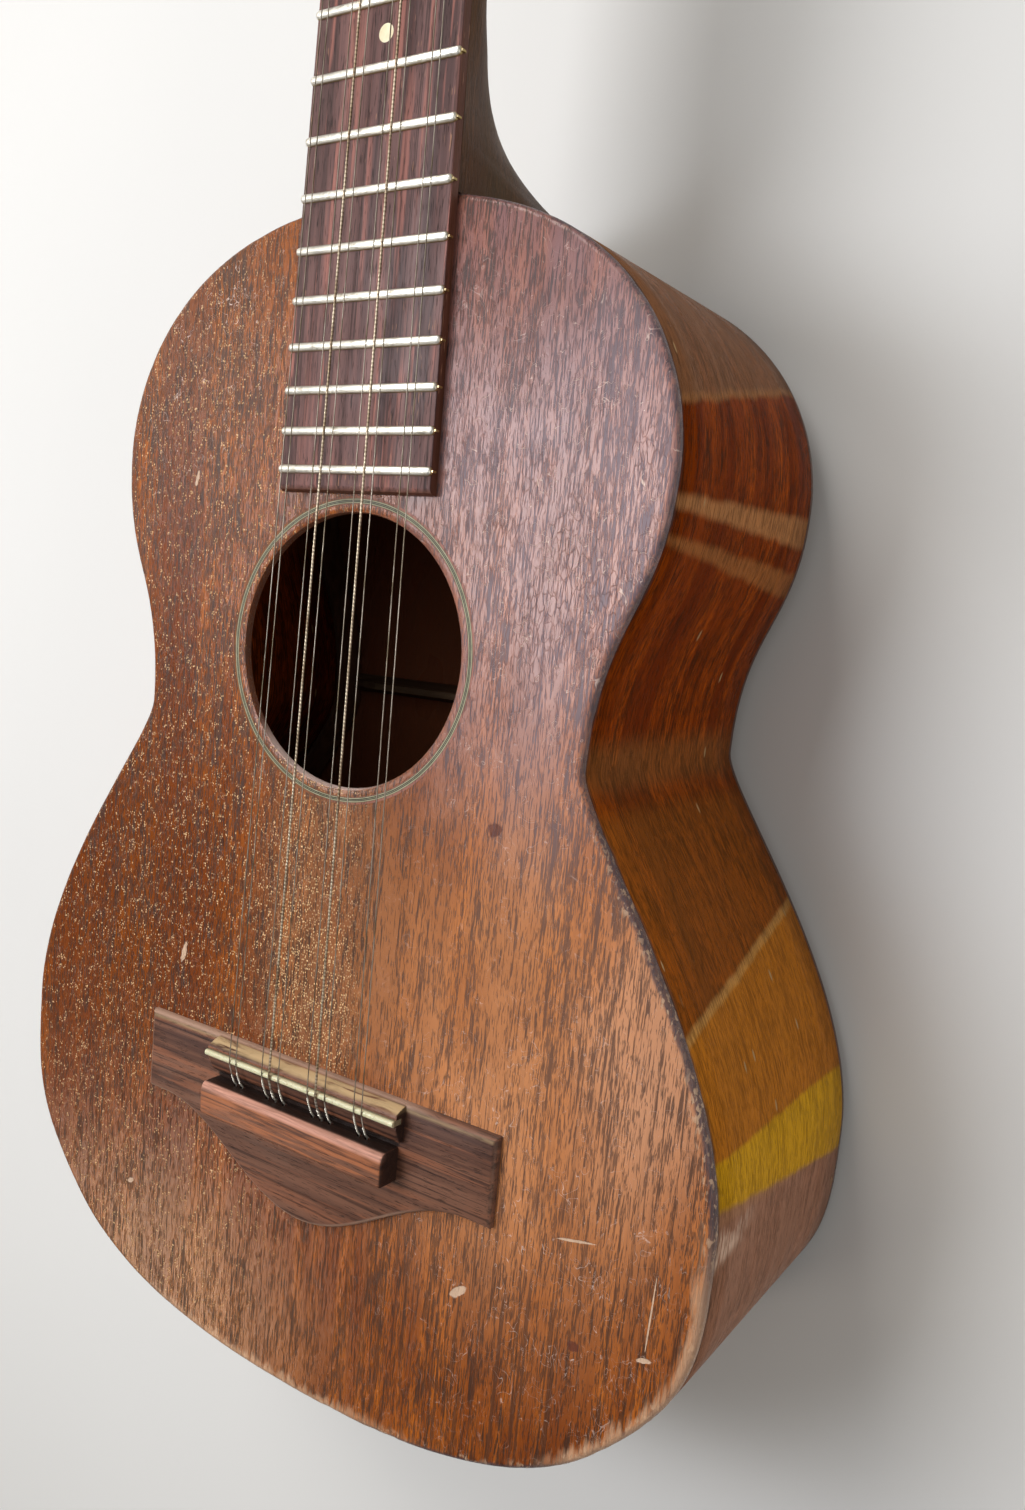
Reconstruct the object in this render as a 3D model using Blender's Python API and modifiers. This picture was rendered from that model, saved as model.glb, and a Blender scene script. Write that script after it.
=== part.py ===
"""A ten-string tiple: a small steel-strung guitar with courses of 2, 3, 3 and 2 strings.

X runs to the treble side, Y from the tail to the head and Z out of the soundboard. The pieces are
drawn with the nut's front edge at y = 0 and the soundboard's face at z = 0, and the root empty then
carries them all so that the origin lies under the middle of the instrument. Sizes are in
millimetres, and MM turns them into Blender's metres.
"""

import math

import bmesh
import bpy
from mathutils import Matrix, Vector
from mathutils.geometry import interpolate_bezier, intersect_line_line_2d

MM = 0.001
GAP = 0.3
GLUE_LINE = 0.12

# Scale, neck and fretboard
SCALE_LENGTH = 431.8
FRETS = 17
NUT_WIDTH = 38.0
LAST_FRET_WIDTH = 48.6
BOARD_THICKNESS = 3.0
BOARD_PAST_LAST_FRET = 5.6
BOARD_END_BEVEL = 1.8
FRET_WIDTH = 2.3
FRET_HEIGHT = 1.0
DOT_RADIUS = 2.2
DOT_THICKNESS = 0.8
DOT_FRETS = (5, 7, 9)
NECK_DEPTH_AT_NUT = 14.0
NECK_DEPTH_AT_HEEL = 19.5
NECK_ROUND = 2
NECK_FLAT = 1.5
HEEL_FOOT_WIDTH = 18.0
HEEL_HOLLOW = 1.3
HEEL_PAST_BODY_EDGE = 3.0
TENON_WIDTH = 21.0
TENON_FLARE = 2.0
TENON_LENGTH = 9.5
TENON_DEPTH_SHARE = 0.72

# Body: half widths, and distances down from the body's top edge at the neck
BODY_TOP_FROM_NUT = 203.4
UPPER_BOUT = 86.4
UPPER_BOUT_DOWN = 63.5
WAIST = 71.5
WAIST_DOWN = 133.3
LOWER_BOUT = 116.6
LOWER_BOUT_DOWN = 235.0
CORNER = 93.3
CORNER_DOWN = 295.8
BODY_LENGTH = 321.7
DEPTH_AT_NECK = 88.5
DEPTH_AT_TAIL = 98.0
BACK_ARCH = 4.0
TOP_THICKNESS = 2.4
BACK_THICKNESS = 2.4
SIDE_THICKNESS = 2.0
EDGE_ROUNDING = 1.5

# Soundhole and its ring
HOLE_RADIUS = 35.6
HOLE_DOWN = 112.5
RING_INNER = 37.7
RING_OUTER = 39.8
RING_DEPTH = 0.7

# Inside the body
LINING_HEIGHT = 7.0
LINING_DEPTH = 4.5
LINING_FOOT = 1.3
NECK_BLOCK_WIDTH = 52.0
NECK_BLOCK_LENGTH = 21.0
TAIL_BLOCK_WIDTH = 48.0
TAIL_BLOCK_LENGTH = 15.0
BRACE_WIDTH = 6.0
TOP_BRACE_HEIGHT = 9.0
BACK_BRACE_HEIGHT = 10.0
BRACE_END_HEIGHT = 3.5
BRACE_SCOOP = 22.0
TOP_BRACES_DOWN = {"upper": 58.0, "lower": 164.0}
BACK_BRACES_DOWN = {"upper": 52.0, "middle": 128.0, "lower": 222.0}
BRIDGE_PLATE_WIDTH = 112.0
BRIDGE_PLATE_LENGTH = 34.0
BRIDGE_PLATE_THICKNESS = 2.0
BRIDGE_PLATE_PAST_BRIDGE = 2.0

# Bridge and saddle, with distances from the nut
SADDLE_FROM_NUT = 432.6
SADDLE_THICKNESS = 1.7
SADDLE_TOP = 8.0
SADDLE_SLOT_FLOOR = 4.0
SADDLE_ROUNDING = 0.5
SADDLE_FLAT_SHARE = 0.4
BRIDGE_WIDTH = 122.0
WING_LENGTH = 23.9
WING_THICKNESS = 2.5
WING_CHAMFER = 1.2
BELLY_WIDTH = 108.0
BELLY_LENGTH = 20.7
BELLY_ROUNDNESS = 0.37
BRIDGE_FRONT_AHEAD_OF_SADDLE = 4.0
BLOCK_WIDTH = 67.0
BLOCK_TOP = 6.5
BLOCK_BEHIND_EDGE = 0.2
BLOCK_FRONT_RAKE = 2.0
BLOCK_ROUNDING = 0.7
BLOCK_SUNK = 0.8
RAMP_BEHIND_SADDLE = 1.8
RAMP_BELOW_HOLES = 0.5
CHANNEL_BEHIND_SADDLE = 9.2
CHANNEL_LENGTH = 1.6
TIE_BLOCK_WIDTH = 64.6
TIE_BLOCK_LENGTH = 6.4
TIE_BLOCK_TOP = 10.0
STRING_HOLE_HEIGHT = 4.6
STRING_HOLE_RADIUS = 0.8
BALL_RADIUS = 1.15
BALL_LENGTH = 1.8

# Strings, from the bass side: radius, place on the saddle and place on the nut
PLAIN = 0.15
WOUND = 0.33
STRINGS = (
    (PLAIN, -23.4, -15.6),
    (PLAIN, -21.0, -13.6),
    (PLAIN, -11.3, -7.4),
    (WOUND, -8.4, -5.0),
    (PLAIN, -5.3, -2.6),
    (PLAIN, 5.1, 2.6),
    (WOUND, 8.1, 5.0),
    (PLAIN, 11.1, 7.4),
    (PLAIN, 20.9, 13.6),
    (PLAIN, 23.5, 15.6),
)
TWIST_SHARE = 1.7
TWIST_END_BEHIND_SADDLE = 3.5
TWIST_END_BELOW_SADDLE = 1.0
BARE_BEHIND_SADDLE = 2.5
BARE_BELOW_SADDLE = 0.6
STRING_CLEARANCE = 0.1
NUT_THICKNESS = 4.5
NUT_TOP = 5.0
NUT_SLOT_DEPTH = 0.5
NUT_SLOT_FALL = 1.0

# Head, drawn in its own frame: u runs from the nut to the tip and w out of the head's face
HEAD_ANGLE = 13.0
HEAD_START = 4.9
HEAD_LENGTH = 138.0
HEAD_THICKNESS = 14.0
HEAD_HALF_WIDTH_AT_SHOULDER = 27.0
HEAD_HALF_WIDTH_AT_TIP = 31.5
HEAD_SHOULDER = 13.0
HEAD_CORNER = 5.0
HEAD_SQUARE = 14
VENEER_THICKNESS = 1.5

# Tuners: five posts to a plate, each turned by a worm
POSTS_PER_SIDE = 5
FIRST_POST = 26.0
POST_PITCH = 23.5
POST_FROM_CENTRE = 19.0
POST_RADIUS = 3.0
POST_WAIST_RADIUS = 2.6
POST_TOP = 11.5
POST_WAIST_LOW = 4.0
POST_WAIST_HIGH = 8.6
POST_WAIST_SLOPE = 0.5
POST_BOSS = 0.9
PLATE_THICKNESS = 1.2
PLATE_WIDTH = 13.2
PLATE_PAST_WORM = 6.0
PLATE_PAST_LAST_POST = 8.0
BEARING_CLEARANCE = 0.06
WHEEL_TEETH = 14
WHEEL_PITCH_RADIUS = 5.4
WHEEL_THICKNESS = 2.2
WORM_PITCH_RADIUS = 2.3
ADDENDUM = 0.65
DEDENDUM = 0.8
TOOTH_FOOT = 0.27
TOOTH_CREST = 0.12
WORM_LENGTH = 7.3
SHAFT_RADIUS = 1.4
LUG_THICKNESS = 1.2
LUG_WIDTH = 5.0
LUG_PAST_SHAFT = 2.4
BUTTON_LENGTH = 14.0
BUTTON_WIDTH = 12.5
BUTTON_THICKNESS = 6.0
BUTTON_CLEARANCE = 3.0
WRAP_TURNS = 2.25
WRAP_START = 4.9
WRAP_SPACE = 0.45

BODY_TOP = -BODY_TOP_FROM_NUT
BODY_TAIL = BODY_TOP - BODY_LENGTH
TOP_UNDERSIDE = -TOP_THICKNESS
BOARD_BOTTOM = GLUE_LINE
BOARD_TOP = BOARD_BOTTOM + BOARD_THICKNESS
SADDLE_Y = -SADDLE_FROM_NUT
BRIDGE_FRONT = SADDLE_Y + BRIDGE_FRONT_AHEAD_OF_SADDLE
THREAD_PITCH = 2 * math.pi * WHEEL_PITCH_RADIUS / WHEEL_TEETH
WHEEL_TO_WORM = WHEEL_PITCH_RADIUS + WORM_PITCH_RADIUS
PLATE_FACE = -HEAD_THICKNESS - GLUE_LINE - PLATE_THICKNESS
WORM_LEVEL = PLATE_FACE - GAP - WORM_PITCH_RADIUS - ADDENDUM
LUG_INNER_FACE = WORM_LENGTH / 2 + GAP
BUTTON_START = HEAD_HALF_WIDTH_AT_TIP + BUTTON_CLEARANCE - POST_FROM_CENTRE


def new_collection(name):
    made = bpy.data.collections.new(name)
    bpy.context.scene.collection.children.link(made)
    return made


def new_material(name, colour, roughness, metallic=0.0):
    material = bpy.data.materials.new(name)
    material.use_nodes = True
    surface = material.node_tree.nodes["Principled BSDF"]
    surface.inputs["Base Color"].default_value = (*colour, 1.0)
    surface.inputs["Roughness"].default_value = roughness
    surface.inputs["Metallic"].default_value = metallic
    return material


for old in list(bpy.data.objects):
    bpy.data.objects.remove(old, do_unlink=True)

PARTS = new_collection("tiple")
CUTTERS = new_collection("cutters")
ROOT = bpy.data.objects.new("tiple_root", None)
PARTS.objects.link(ROOT)
HEAD = bpy.data.objects.new("head_frame", None)
PARTS.objects.link(HEAD)
HEAD.parent = ROOT
HEAD.location = (0, HEAD_START * MM, 0)
HEAD.rotation_euler = (-math.radians(HEAD_ANGLE), 0, 0)
HEAD_TO_BODY = Matrix.Translation((0, HEAD_START, 0)) @ Matrix.Rotation(
    -math.radians(HEAD_ANGLE), 4, "X"
)

MAHOGANY = new_material("mahogany", (0.30, 0.11, 0.045), 0.35)
ROSEWOOD = new_material("rosewood", (0.13, 0.055, 0.04), 0.45)
SPRUCE = new_material("spruce", (0.55, 0.40, 0.24), 0.6)
BONE = new_material("bone", (0.78, 0.74, 0.60), 0.4)
RING = new_material("ring", (0.28, 0.27, 0.2), 0.5)
STEEL = new_material("steel", (0.55, 0.54, 0.5), 0.3, 1.0)
BRONZE = new_material("bronze", (0.50, 0.36, 0.20), 0.4, 1.0)
NICKEL = new_material("nickel", (0.62, 0.60, 0.56), 0.3, 1.0)
IVORY = new_material("ivory", (0.80, 0.72, 0.52), 0.35)


def add_object(name, data, material, parent=ROOT, place=(0, 0, 0)):
    obj = bpy.data.objects.new(name, data)
    data.materials.clear()
    data.materials.append(material)
    obj.parent = parent
    obj.location = Vector(place) * MM
    PARTS.objects.link(obj)
    return obj


def as_cutter(obj):
    PARTS.objects.unlink(obj)
    CUTTERS.objects.link(obj)
    obj.hide_render = True
    obj.display_type = "WIRE"
    return obj


def finish_mesh(bm, name):
    """A mesh with doubled points merged and its faces turned outwards, in metres."""
    bmesh.ops.remove_doubles(bm, verts=bm.verts, dist=0.001)
    bmesh.ops.dissolve_degenerate(bm, edges=bm.edges, dist=0.0005)
    bmesh.ops.recalc_face_normals(bm, faces=bm.faces)
    bmesh.ops.scale(bm, vec=(MM, MM, MM), verts=bm.verts)
    mesh = bpy.data.meshes.new(name)
    bm.to_mesh(mesh)
    bm.free()
    mesh.shade_smooth()
    mesh.set_sharp_from_angle(angle=math.radians(32))
    return mesh


def skin(bm, loops, closed=True):
    """Quads between each pair of neighbouring loops, all with as many points."""
    rows = [[bm.verts.new(point) for point in loop] for loop in loops]
    count = len(rows[0])
    last = count if closed else count - 1
    for first, second in zip(rows, rows[1:]):
        for i in range(last):
            j = (i + 1) % count
            bm.faces.new((first[i], first[j], second[j], second[i]))
    return rows


def fill_between(bm, outer, inner):
    """Triangles over the flat ring between two loops of points."""
    edges = []
    for row in (outer, inner):
        for a, b in zip(row, row[1:] + row[:1]):
            edges.append(bm.edges.get((a, b)) or bm.edges.new((a, b)))
    bmesh.ops.triangle_fill(bm, use_beauty=True, edges=edges, normal=(0, 0, 1))


def loft(name, loops, material, parent=ROOT, place=(0, 0, 0)):
    """A solid through closed loops, with a flat cap at each end."""
    bm = bmesh.new()
    rows = skin(bm, loops)
    bm.faces.new(rows[0])
    bm.faces.new(rows[-1])
    return add_object(name, finish_mesh(bm, name), material, parent, place)


def slab(name, outline, bottom, top, material, parent=ROOT):
    """A flat outline of (x, y) points made thick from bottom to top."""
    loops = [[(x, y, z) for x, y in outline] for z in (bottom, top)]
    return loft(name, loops, material, parent)


def pierced_slab(name, outline, holes, bottom, top, material, parent=ROOT):
    """A slab with holes, as a filled 2D curve with an extrude of half its thickness."""
    curve = bpy.data.curves.new(name, "CURVE")
    curve.dimensions = "2D"
    curve.fill_mode = "BOTH"
    curve.extrude = (top - bottom) / 2 * MM
    for loop in [outline, *holes]:
        spline = curve.splines.new("POLY")
        spline.points.add(len(loop) - 1)
        for point, (x, y) in zip(spline.points, loop):
            point.co = (x * MM, y * MM, 0, 1)
        spline.use_cyclic_u = True
    obj = add_object(name, curve, material, parent, (0, 0, (top + bottom) / 2))
    return mesh_from_curve(obj, material)


def mesh_from_curve(obj, material):
    """The curve's solid as a mesh object of the same name and place, with its caps welded."""
    bpy.context.view_layer.update()
    graph = bpy.context.evaluated_depsgraph_get()
    mesh = bpy.data.meshes.new_from_object(obj.evaluated_get(graph))
    bm = bmesh.new()
    bm.from_mesh(mesh)
    bmesh.ops.remove_doubles(bm, verts=bm.verts, dist=1e-6)
    bmesh.ops.recalc_face_normals(bm, faces=bm.faces)
    bm.to_mesh(mesh)
    bm.free()
    name, parent, place = obj.name, obj.parent, obj.location / MM
    bpy.data.objects.remove(obj, do_unlink=True)
    return add_object(name, mesh, material, parent, place)


def box(name, low, high, material, parent=ROOT):
    bm = bmesh.new()
    bmesh.ops.create_cube(bm, size=1)
    size = [b - a for a, b in zip(low, high)]
    bmesh.ops.scale(bm, vec=size, verts=bm.verts)
    bmesh.ops.translate(bm, vec=[(a + b) / 2 for a, b in zip(low, high)], verts=bm.verts)
    return add_object(name, finish_mesh(bm, name), material, parent)


def rods(name, ends, radius, sides, material, parent=ROOT):
    """Separate straight cylinders, each between its two end points, in one object."""
    bm = bmesh.new()
    for start, end in ends:
        along = Vector(end) - Vector(start)
        turn = along.to_track_quat("Z", "Y").to_matrix().to_4x4()
        middle = Matrix.Translation((Vector(start) + Vector(end)) / 2)
        bmesh.ops.create_cone(
            bm, cap_ends=True, segments=sides, radius1=radius, radius2=radius,
            depth=along.length, matrix=middle @ turn,
        )
    return add_object(name, finish_mesh(bm, name), material, parent)


def combine(obj, tool, operation):
    """Adds a Boolean to obj and puts its tool among the cutters."""
    step = obj.modifiers.new(f"{operation.lower()} {tool.name}", "BOOLEAN")
    step.operation = operation
    step.solver = "EXACT"
    step.object = as_cutter(tool)


def soften(obj, width, segments=1):
    edge = obj.modifiers.new("softened edges", "BEVEL")
    edge.width = width * MM
    edge.segments = segments
    edge.limit_method = "ANGLE"
    edge.angle_limit = math.radians(40)


def circle(radius, count, centre=(0, 0)):
    turns = (2 * math.pi * i / count for i in range(count))
    return [(centre[0] + radius * math.cos(a), centre[1] + radius * math.sin(a)) for a in turns]


def mirrored(half):
    """A closed loop from a half that runs from x = 0 to x = 0 on the treble side."""
    return [*half, *((-x, y) for x, y in reversed(half[1:-1]))]


def inset(loop, distance, closed=True):
    """The loop, run clockwise seen from above, moved inwards by the distance."""
    count = len(loop)
    moved = []
    for i, (x, y) in enumerate(loop):
        before = loop[i - 1] if i or closed else (-loop[1][0], loop[1][1])
        after = loop[(i + 1) % count] if i < count - 1 or closed else (-loop[-2][0], loop[-2][1])
        a = Vector((y - before[1], before[0] - x)).normalized()
        b = Vector((after[1] - y, x - after[0])).normalized()
        step = (a + b) * distance / (1 + a.dot(b))
        moved.append((x + step.x, y + step.y))
    return moved


def half_outline():
    """The body's treble half from the neck's centre to the tail's, through six knots."""
    slant = math.sqrt(0.5)
    # Each knot: half width, distance down, direction of travel, and its two handles' lengths.
    knots = (
        (0.0, 0.0, (1, 0), 0.0, 0.8 * UPPER_BOUT),
        (UPPER_BOUT, UPPER_BOUT_DOWN, (0, -1), 23.0, 33.0),
        (WAIST, WAIST_DOWN, (0, -1), 37.0, 11.0),
        (LOWER_BOUT, LOWER_BOUT_DOWN, (0, -1), 43.0, 26.0),
        (CORNER, CORNER_DOWN, (-slant, -slant), 33.0, 33.0),
        (0.0, BODY_LENGTH, (-1, 0), 0.3 * CORNER, 0.0),
    )
    points = []
    for (xa, da, way_a, _, out), (xb, db, way_b, into, _) in zip(knots, knots[1:]):
        start = Vector((xa, BODY_TOP - da))
        end = Vector((xb, BODY_TOP - db))
        curve = interpolate_bezier(
            start, start + Vector(way_a) * out, end - Vector(way_b) * into, end, 8
        )
        points += [(p.x, p.y) for p in curve[:-1]]
    return [*points, (0.0, BODY_TAIL)]


HALF = half_outline()


def top_edge(x):
    """How far along the body's edge beside the neck lies at this half width."""
    for (xa, ya), (xb, yb) in zip(HALF, HALF[1:]):
        if xa <= x <= xb:
            return ya + (yb - ya) * (x - xa) / (xb - xa)
    return BODY_TOP - UPPER_BOUT_DOWN


def depth_at(y):
    """The body's depth at its rim, from the soundboard's face to the back's outer edge."""
    share = (BODY_TOP - y) / BODY_LENGTH
    return DEPTH_AT_NECK + (DEPTH_AT_TAIL - DEPTH_AT_NECK) * share


def spine_point(y):
    """The nearest point of the back's crown line, which the arch falls away from."""
    return Vector((0.0, min(max(y, BODY_TAIL + CORNER), BODY_TOP - UPPER_BOUT_DOWN)))


def rim_share(x, y):
    """0 on the back's crown line and 1 at its rim."""
    middle = spine_point(y)
    away = Vector((abs(x), y)) - middle
    if away.length < 1e-6:
        return 0.0
    far = middle + away.normalized() * 2 * LOWER_BOUT
    for a, b in zip(HALF, HALF[1:]):
        crossing = intersect_line_line_2d(middle, far, Vector(a), Vector(b))
        if crossing:
            return away.length / (crossing - middle).length
    return 1.0


def back_face(x, y):
    """Height of the back's outer face."""
    return -depth_at(y) - BACK_ARCH * (1 - rim_share(x, y) ** 2)


def back_inside(x, y):
    """Height of what is glued to the back's inner face."""
    return back_face(x, y) + BACK_THICKNESS + GAP


def board_half_width(y):
    last = SCALE_LENGTH * (1 - 2 ** (-FRETS / 12))
    return (NUT_WIDTH + (LAST_FRET_WIDTH - NUT_WIDTH) * -y / last) / 2


def fret_y(number):
    return -SCALE_LENGTH * (1 - 2 ** (-number / 12))


def make_soundboard():
    """The plate, with a rounded rim, the soundhole and the groove for its ring."""
    centre = (0, BODY_TOP - HOLE_DOWN)
    rim = mirrored(HALF)

    def rim_loop(distance, z):
        return [(x, y, z) for x, y in inset(rim, distance)]

    def hole_loop(radius, z):
        return [(x, y, z) for x, y in circle(radius, 40, centre)]

    bm = bmesh.new()
    outside = skin(bm, [
        rim_loop(EDGE_ROUNDING, 0),
        rim_loop(EDGE_ROUNDING * 0.3, -EDGE_ROUNDING * 0.3),
        rim_loop(0, -EDGE_ROUNDING),
        rim_loop(0, TOP_UNDERSIDE),
    ])
    inside = skin(bm, [
        hole_loop(HOLE_RADIUS, TOP_UNDERSIDE),
        hole_loop(HOLE_RADIUS, -0.5),
        hole_loop(HOLE_RADIUS + 0.5, 0),
        hole_loop(RING_INNER, 0),
        hole_loop(RING_INNER, -RING_DEPTH),
        hole_loop(RING_OUTER, -RING_DEPTH),
        hole_loop(RING_OUTER, 0),
    ])
    fill_between(bm, outside[0], inside[-1])
    fill_between(bm, outside[-1], inside[0])
    add_object("soundboard", finish_mesh(bm, "soundboard"), MAHOGANY)


def make_rosette():
    """The ring that lies in the soundboard's groove."""
    centre = (0, BODY_TOP - HOLE_DOWN)
    inner = RING_INNER + GLUE_LINE
    outer = RING_OUTER - GLUE_LINE
    floor = GLUE_LINE - RING_DEPTH
    bm = bmesh.new()
    loops = ((inner, floor), (inner, 0), (outer, 0), (outer, floor), (inner, floor))
    skin(bm, [[(x, y, z) for x, y in circle(r, 40, centre)] for r, z in loops])
    add_object("rosette", finish_mesh(bm, "rosette"), RING)


def make_back():
    """The arched back, as a shell on rings that shrink from the rim to the crown line."""
    rim = mirrored(HALF)
    loops = []
    for share in (1.0, 0.75, 0.4, 0.0):
        middles = (spine_point(y) for _, y in rim)
        ring = [m + (Vector(p) - m) * share for p, m in zip(rim, middles)]
        loops.append([
            (p.x, p.y, -depth_at(p.y) - BACK_ARCH * (1 - share**2)) for p in ring
        ])
    bm = bmesh.new()
    skin(bm, loops)
    obj = add_object("back", finish_mesh(bm, "back"), MAHOGANY)
    shell = obj.modifiers.new("thickness", "SOLIDIFY")
    shell.thickness = BACK_THICKNESS * MM
    shell.offset = 1 if obj.data.polygons[0].normal.z > 0 else -1


def make_sides():
    """Two bent ribs, from the neck's tenon to the seam at the tail."""
    start = tenon_half_width(BODY_TOP - SIDE_THICKNESS) + 2 * GAP
    path = [(start, top_edge(start)), *(p for p in HALF if p[0] > start + 1)]
    path.append((GLUE_LINE, BODY_TAIL))
    for name, side in (("side_bass", -1), ("side_treble", 1)):
        bm = bmesh.new()
        top = [(side * x, y, TOP_UNDERSIDE - GLUE_LINE) for x, y in path]
        foot = [(side * x, y, BACK_THICKNESS + GAP - depth_at(y)) for x, y in path]
        skin(bm, [top, foot] if side > 0 else [foot, top], closed=False)
        mesh = finish_mesh(bm, name)
        obj = add_object(name, mesh, MAHOGANY)
        outward = mesh.polygons[len(mesh.polygons) // 2].normal.x * side > 0
        rib = obj.modifiers.new("thickness", "SOLIDIFY")
        rib.thickness = SIDE_THICKNESS * MM
        rib.offset = -1 if outward else 1
        rib.use_even_offset = True


def tenon_half_width(y):
    """Half the dovetail's width, which grows from its root to its end."""
    return TENON_WIDTH / 2 + TENON_FLARE * (BODY_TOP - y) / TENON_LENGTH


def inner_chain(distance, narrow, at_neck):
    """The part of the inset outline within narrow of the centre line, at the neck or the tail."""
    chain = inset(HALF, distance, closed=False)
    middle = BODY_TOP - WAIST_DOWN
    near = [p for p in chain if p[0] < narrow - 1 and (p[1] > middle) == at_neck]
    beyond = [p for p in chain if p[0] >= narrow - 1 and (p[1] > middle) == at_neck]
    outer = beyond[0] if at_neck else beyond[-1]
    inner = near[-1] if at_neck else near[0]
    share = (narrow - inner[0]) / (outer[0] - inner[0])
    edge = (narrow, inner[1] + (outer[1] - inner[1]) * share)
    return [*near, edge] if at_neck else [edge, *near]


def block_loops(outline):
    """A block's outline under the soundboard and on the back."""
    top = [(x, y, TOP_UNDERSIDE - GLUE_LINE) for x, y in outline]
    foot = [(x, y, back_inside(x, y)) for x, y in outline]
    return [top, foot]


def make_neck_block():
    """The block under the heel, with a dovetail mortise for the neck's tenon."""
    chain = inner_chain(SIDE_THICKNESS + GAP, NECK_BLOCK_WIDTH / 2, True)
    mouth = tenon_half_width(BODY_TOP - SIDE_THICKNESS) + 2 * GAP
    face = top_edge(mouth) - SIDE_THICKNESS - 1.5 * GAP
    mortise_end = BODY_TOP - TENON_LENGTH - GAP
    right = [(tenon_half_width(mortise_end) + GAP, mortise_end), (mouth, face)]
    right += [p for p in chain if p[0] > mouth + 1]
    right.append((NECK_BLOCK_WIDTH / 2, BODY_TOP - NECK_BLOCK_LENGTH))
    left = [(-x, y) for x, y in reversed(right)]
    loft("neck_block", block_loops([*right, *left]), MAHOGANY)


def make_tail_block():
    chain = inner_chain(SIDE_THICKNESS + GAP, TAIL_BLOCK_WIDTH / 2, False)
    right = [(TAIL_BLOCK_WIDTH / 2, BODY_TAIL + TAIL_BLOCK_LENGTH), *chain[:-1]]
    left = [(-x, y) for x, y in reversed(right)]
    loft("tail_block", block_loops([*right, (0, chain[-1][1]), *left]), MAHOGANY)


def make_linings():
    """Tapered strips in the corners between the sides and both plates."""
    wall = SIDE_THICKNESS + GAP
    outer = inset(HALF, wall, closed=False)
    foot = inset(HALF, wall + LINING_FOOT, closed=False)
    inner = inset(HALF, wall + LINING_DEPTH, closed=False)
    clear = GAP + LINING_DEPTH
    stations = [
        i for i, (x, y) in enumerate(HALF)
        if x > (NECK_BLOCK_WIDTH if y > BODY_TOP - WAIST_DOWN else TAIL_BLOCK_WIDTH) / 2 + clear
    ]
    for side_name, side in (("bass", -1), ("treble", 1)):
        for plate in ("top", "back"):
            loops = []
            for i in stations:
                section = []
                for (x, y), low in ((outer[i], 0), (inner[i], 0), (foot[i], 1), (outer[i], 1)):
                    if plate == "top":
                        z = TOP_UNDERSIDE - GLUE_LINE - low * LINING_HEIGHT
                    else:
                        z = back_inside(x, y) + low * LINING_HEIGHT
                    section.append((side * x, y, z))
                loops.append(section)
            loft(f"lining_{plate}_{side_name}", loops, MAHOGANY)


def inner_half_width(y):
    """Half the room between the linings at this place along the body."""
    inner = inset(HALF, SIDE_THICKNESS + LINING_DEPTH + 2 * GAP, closed=False)
    for (xa, ya), (xb, yb) in zip(inner, inner[1:]):
        if yb <= y <= ya and xa > NECK_BLOCK_WIDTH / 2:
            return xa + (xb - xa) * (ya - y) / (ya - yb)
    return WAIST - SIDE_THICKNESS - LINING_DEPTH


def make_top_braces():
    """Straight bars across the soundboard, cut down at their ends."""
    for name, down in TOP_BRACES_DOWN.items():
        y = BODY_TOP - down
        half = min(inner_half_width(y + s * BRACE_WIDTH / 2) for s in (-1, 1))
        top = TOP_UNDERSIDE - GLUE_LINE
        profile = [
            (-half, top), (half, top), (half, top - BRACE_END_HEIGHT),
            (half - BRACE_SCOOP, top - TOP_BRACE_HEIGHT),
            (BRACE_SCOOP - half, top - TOP_BRACE_HEIGHT), (-half, top - BRACE_END_HEIGHT),
        ]
        loops = [[(x, y + s * BRACE_WIDTH / 2, z) for x, z in profile] for s in (-1, 1)]
        loft(f"top_brace_{name}", loops, SPRUCE)


def make_back_braces():
    """Bars across the back, curved to its arch."""
    for name, down in BACK_BRACES_DOWN.items():
        y = BODY_TOP - down
        half = min(inner_half_width(y + s * BRACE_WIDTH / 2) for s in (-1, 1))
        stations = [half * share for share in (-1, -0.8, -0.4, 0, 0.4, 0.8, 1)]
        loops = []
        for x in stations:
            height = BRACE_END_HEIGHT if abs(x) == half else BACK_BRACE_HEIGHT
            front = y + BRACE_WIDTH / 2
            rear = y - BRACE_WIDTH / 2
            crest = back_inside(x, y) + height
            loops.append([
                (x, front, back_inside(x, front)), (x, rear, back_inside(x, rear)),
                (x, y - BRACE_WIDTH / 6, crest), (x, y + BRACE_WIDTH / 6, crest),
            ])
        loft(f"back_brace_{name}", loops, SPRUCE)


def make_bridge_plate():
    top = TOP_UNDERSIDE - GLUE_LINE
    front = BRIDGE_FRONT + BRIDGE_PLATE_PAST_BRIDGE
    low = (-BRIDGE_PLATE_WIDTH / 2, front - BRIDGE_PLATE_LENGTH, top - BRIDGE_PLATE_THICKNESS)
    high = (BRIDGE_PLATE_WIDTH / 2, front, top)
    box("bridge_plate", low, high, SPRUCE)


def neck_section(half_width, depth, foot, squareness, heel, to_body):
    """A loop round the neck: flat on top, and round, square or heel-shaped below."""
    right = []
    for i in range(7):
        angle = math.radians(15 * i)
        down = math.sin(angle) ** (2 / squareness)
        round_in = math.cos(angle) ** (2 / squareness)
        heel_in = (1 - math.sin(angle)) ** HEEL_HOLLOW
        in_share = (1 - heel) * round_in + heel * heel_in
        down_share = (1 - heel) * down + heel * math.sin(angle)
        right.append((foot + (half_width - foot) * in_share, -depth * down_share))
    left = [(-x, z) for x, z in reversed(right)]
    return [to_body(x, z) for x, z in [*right, *left]]


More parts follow.
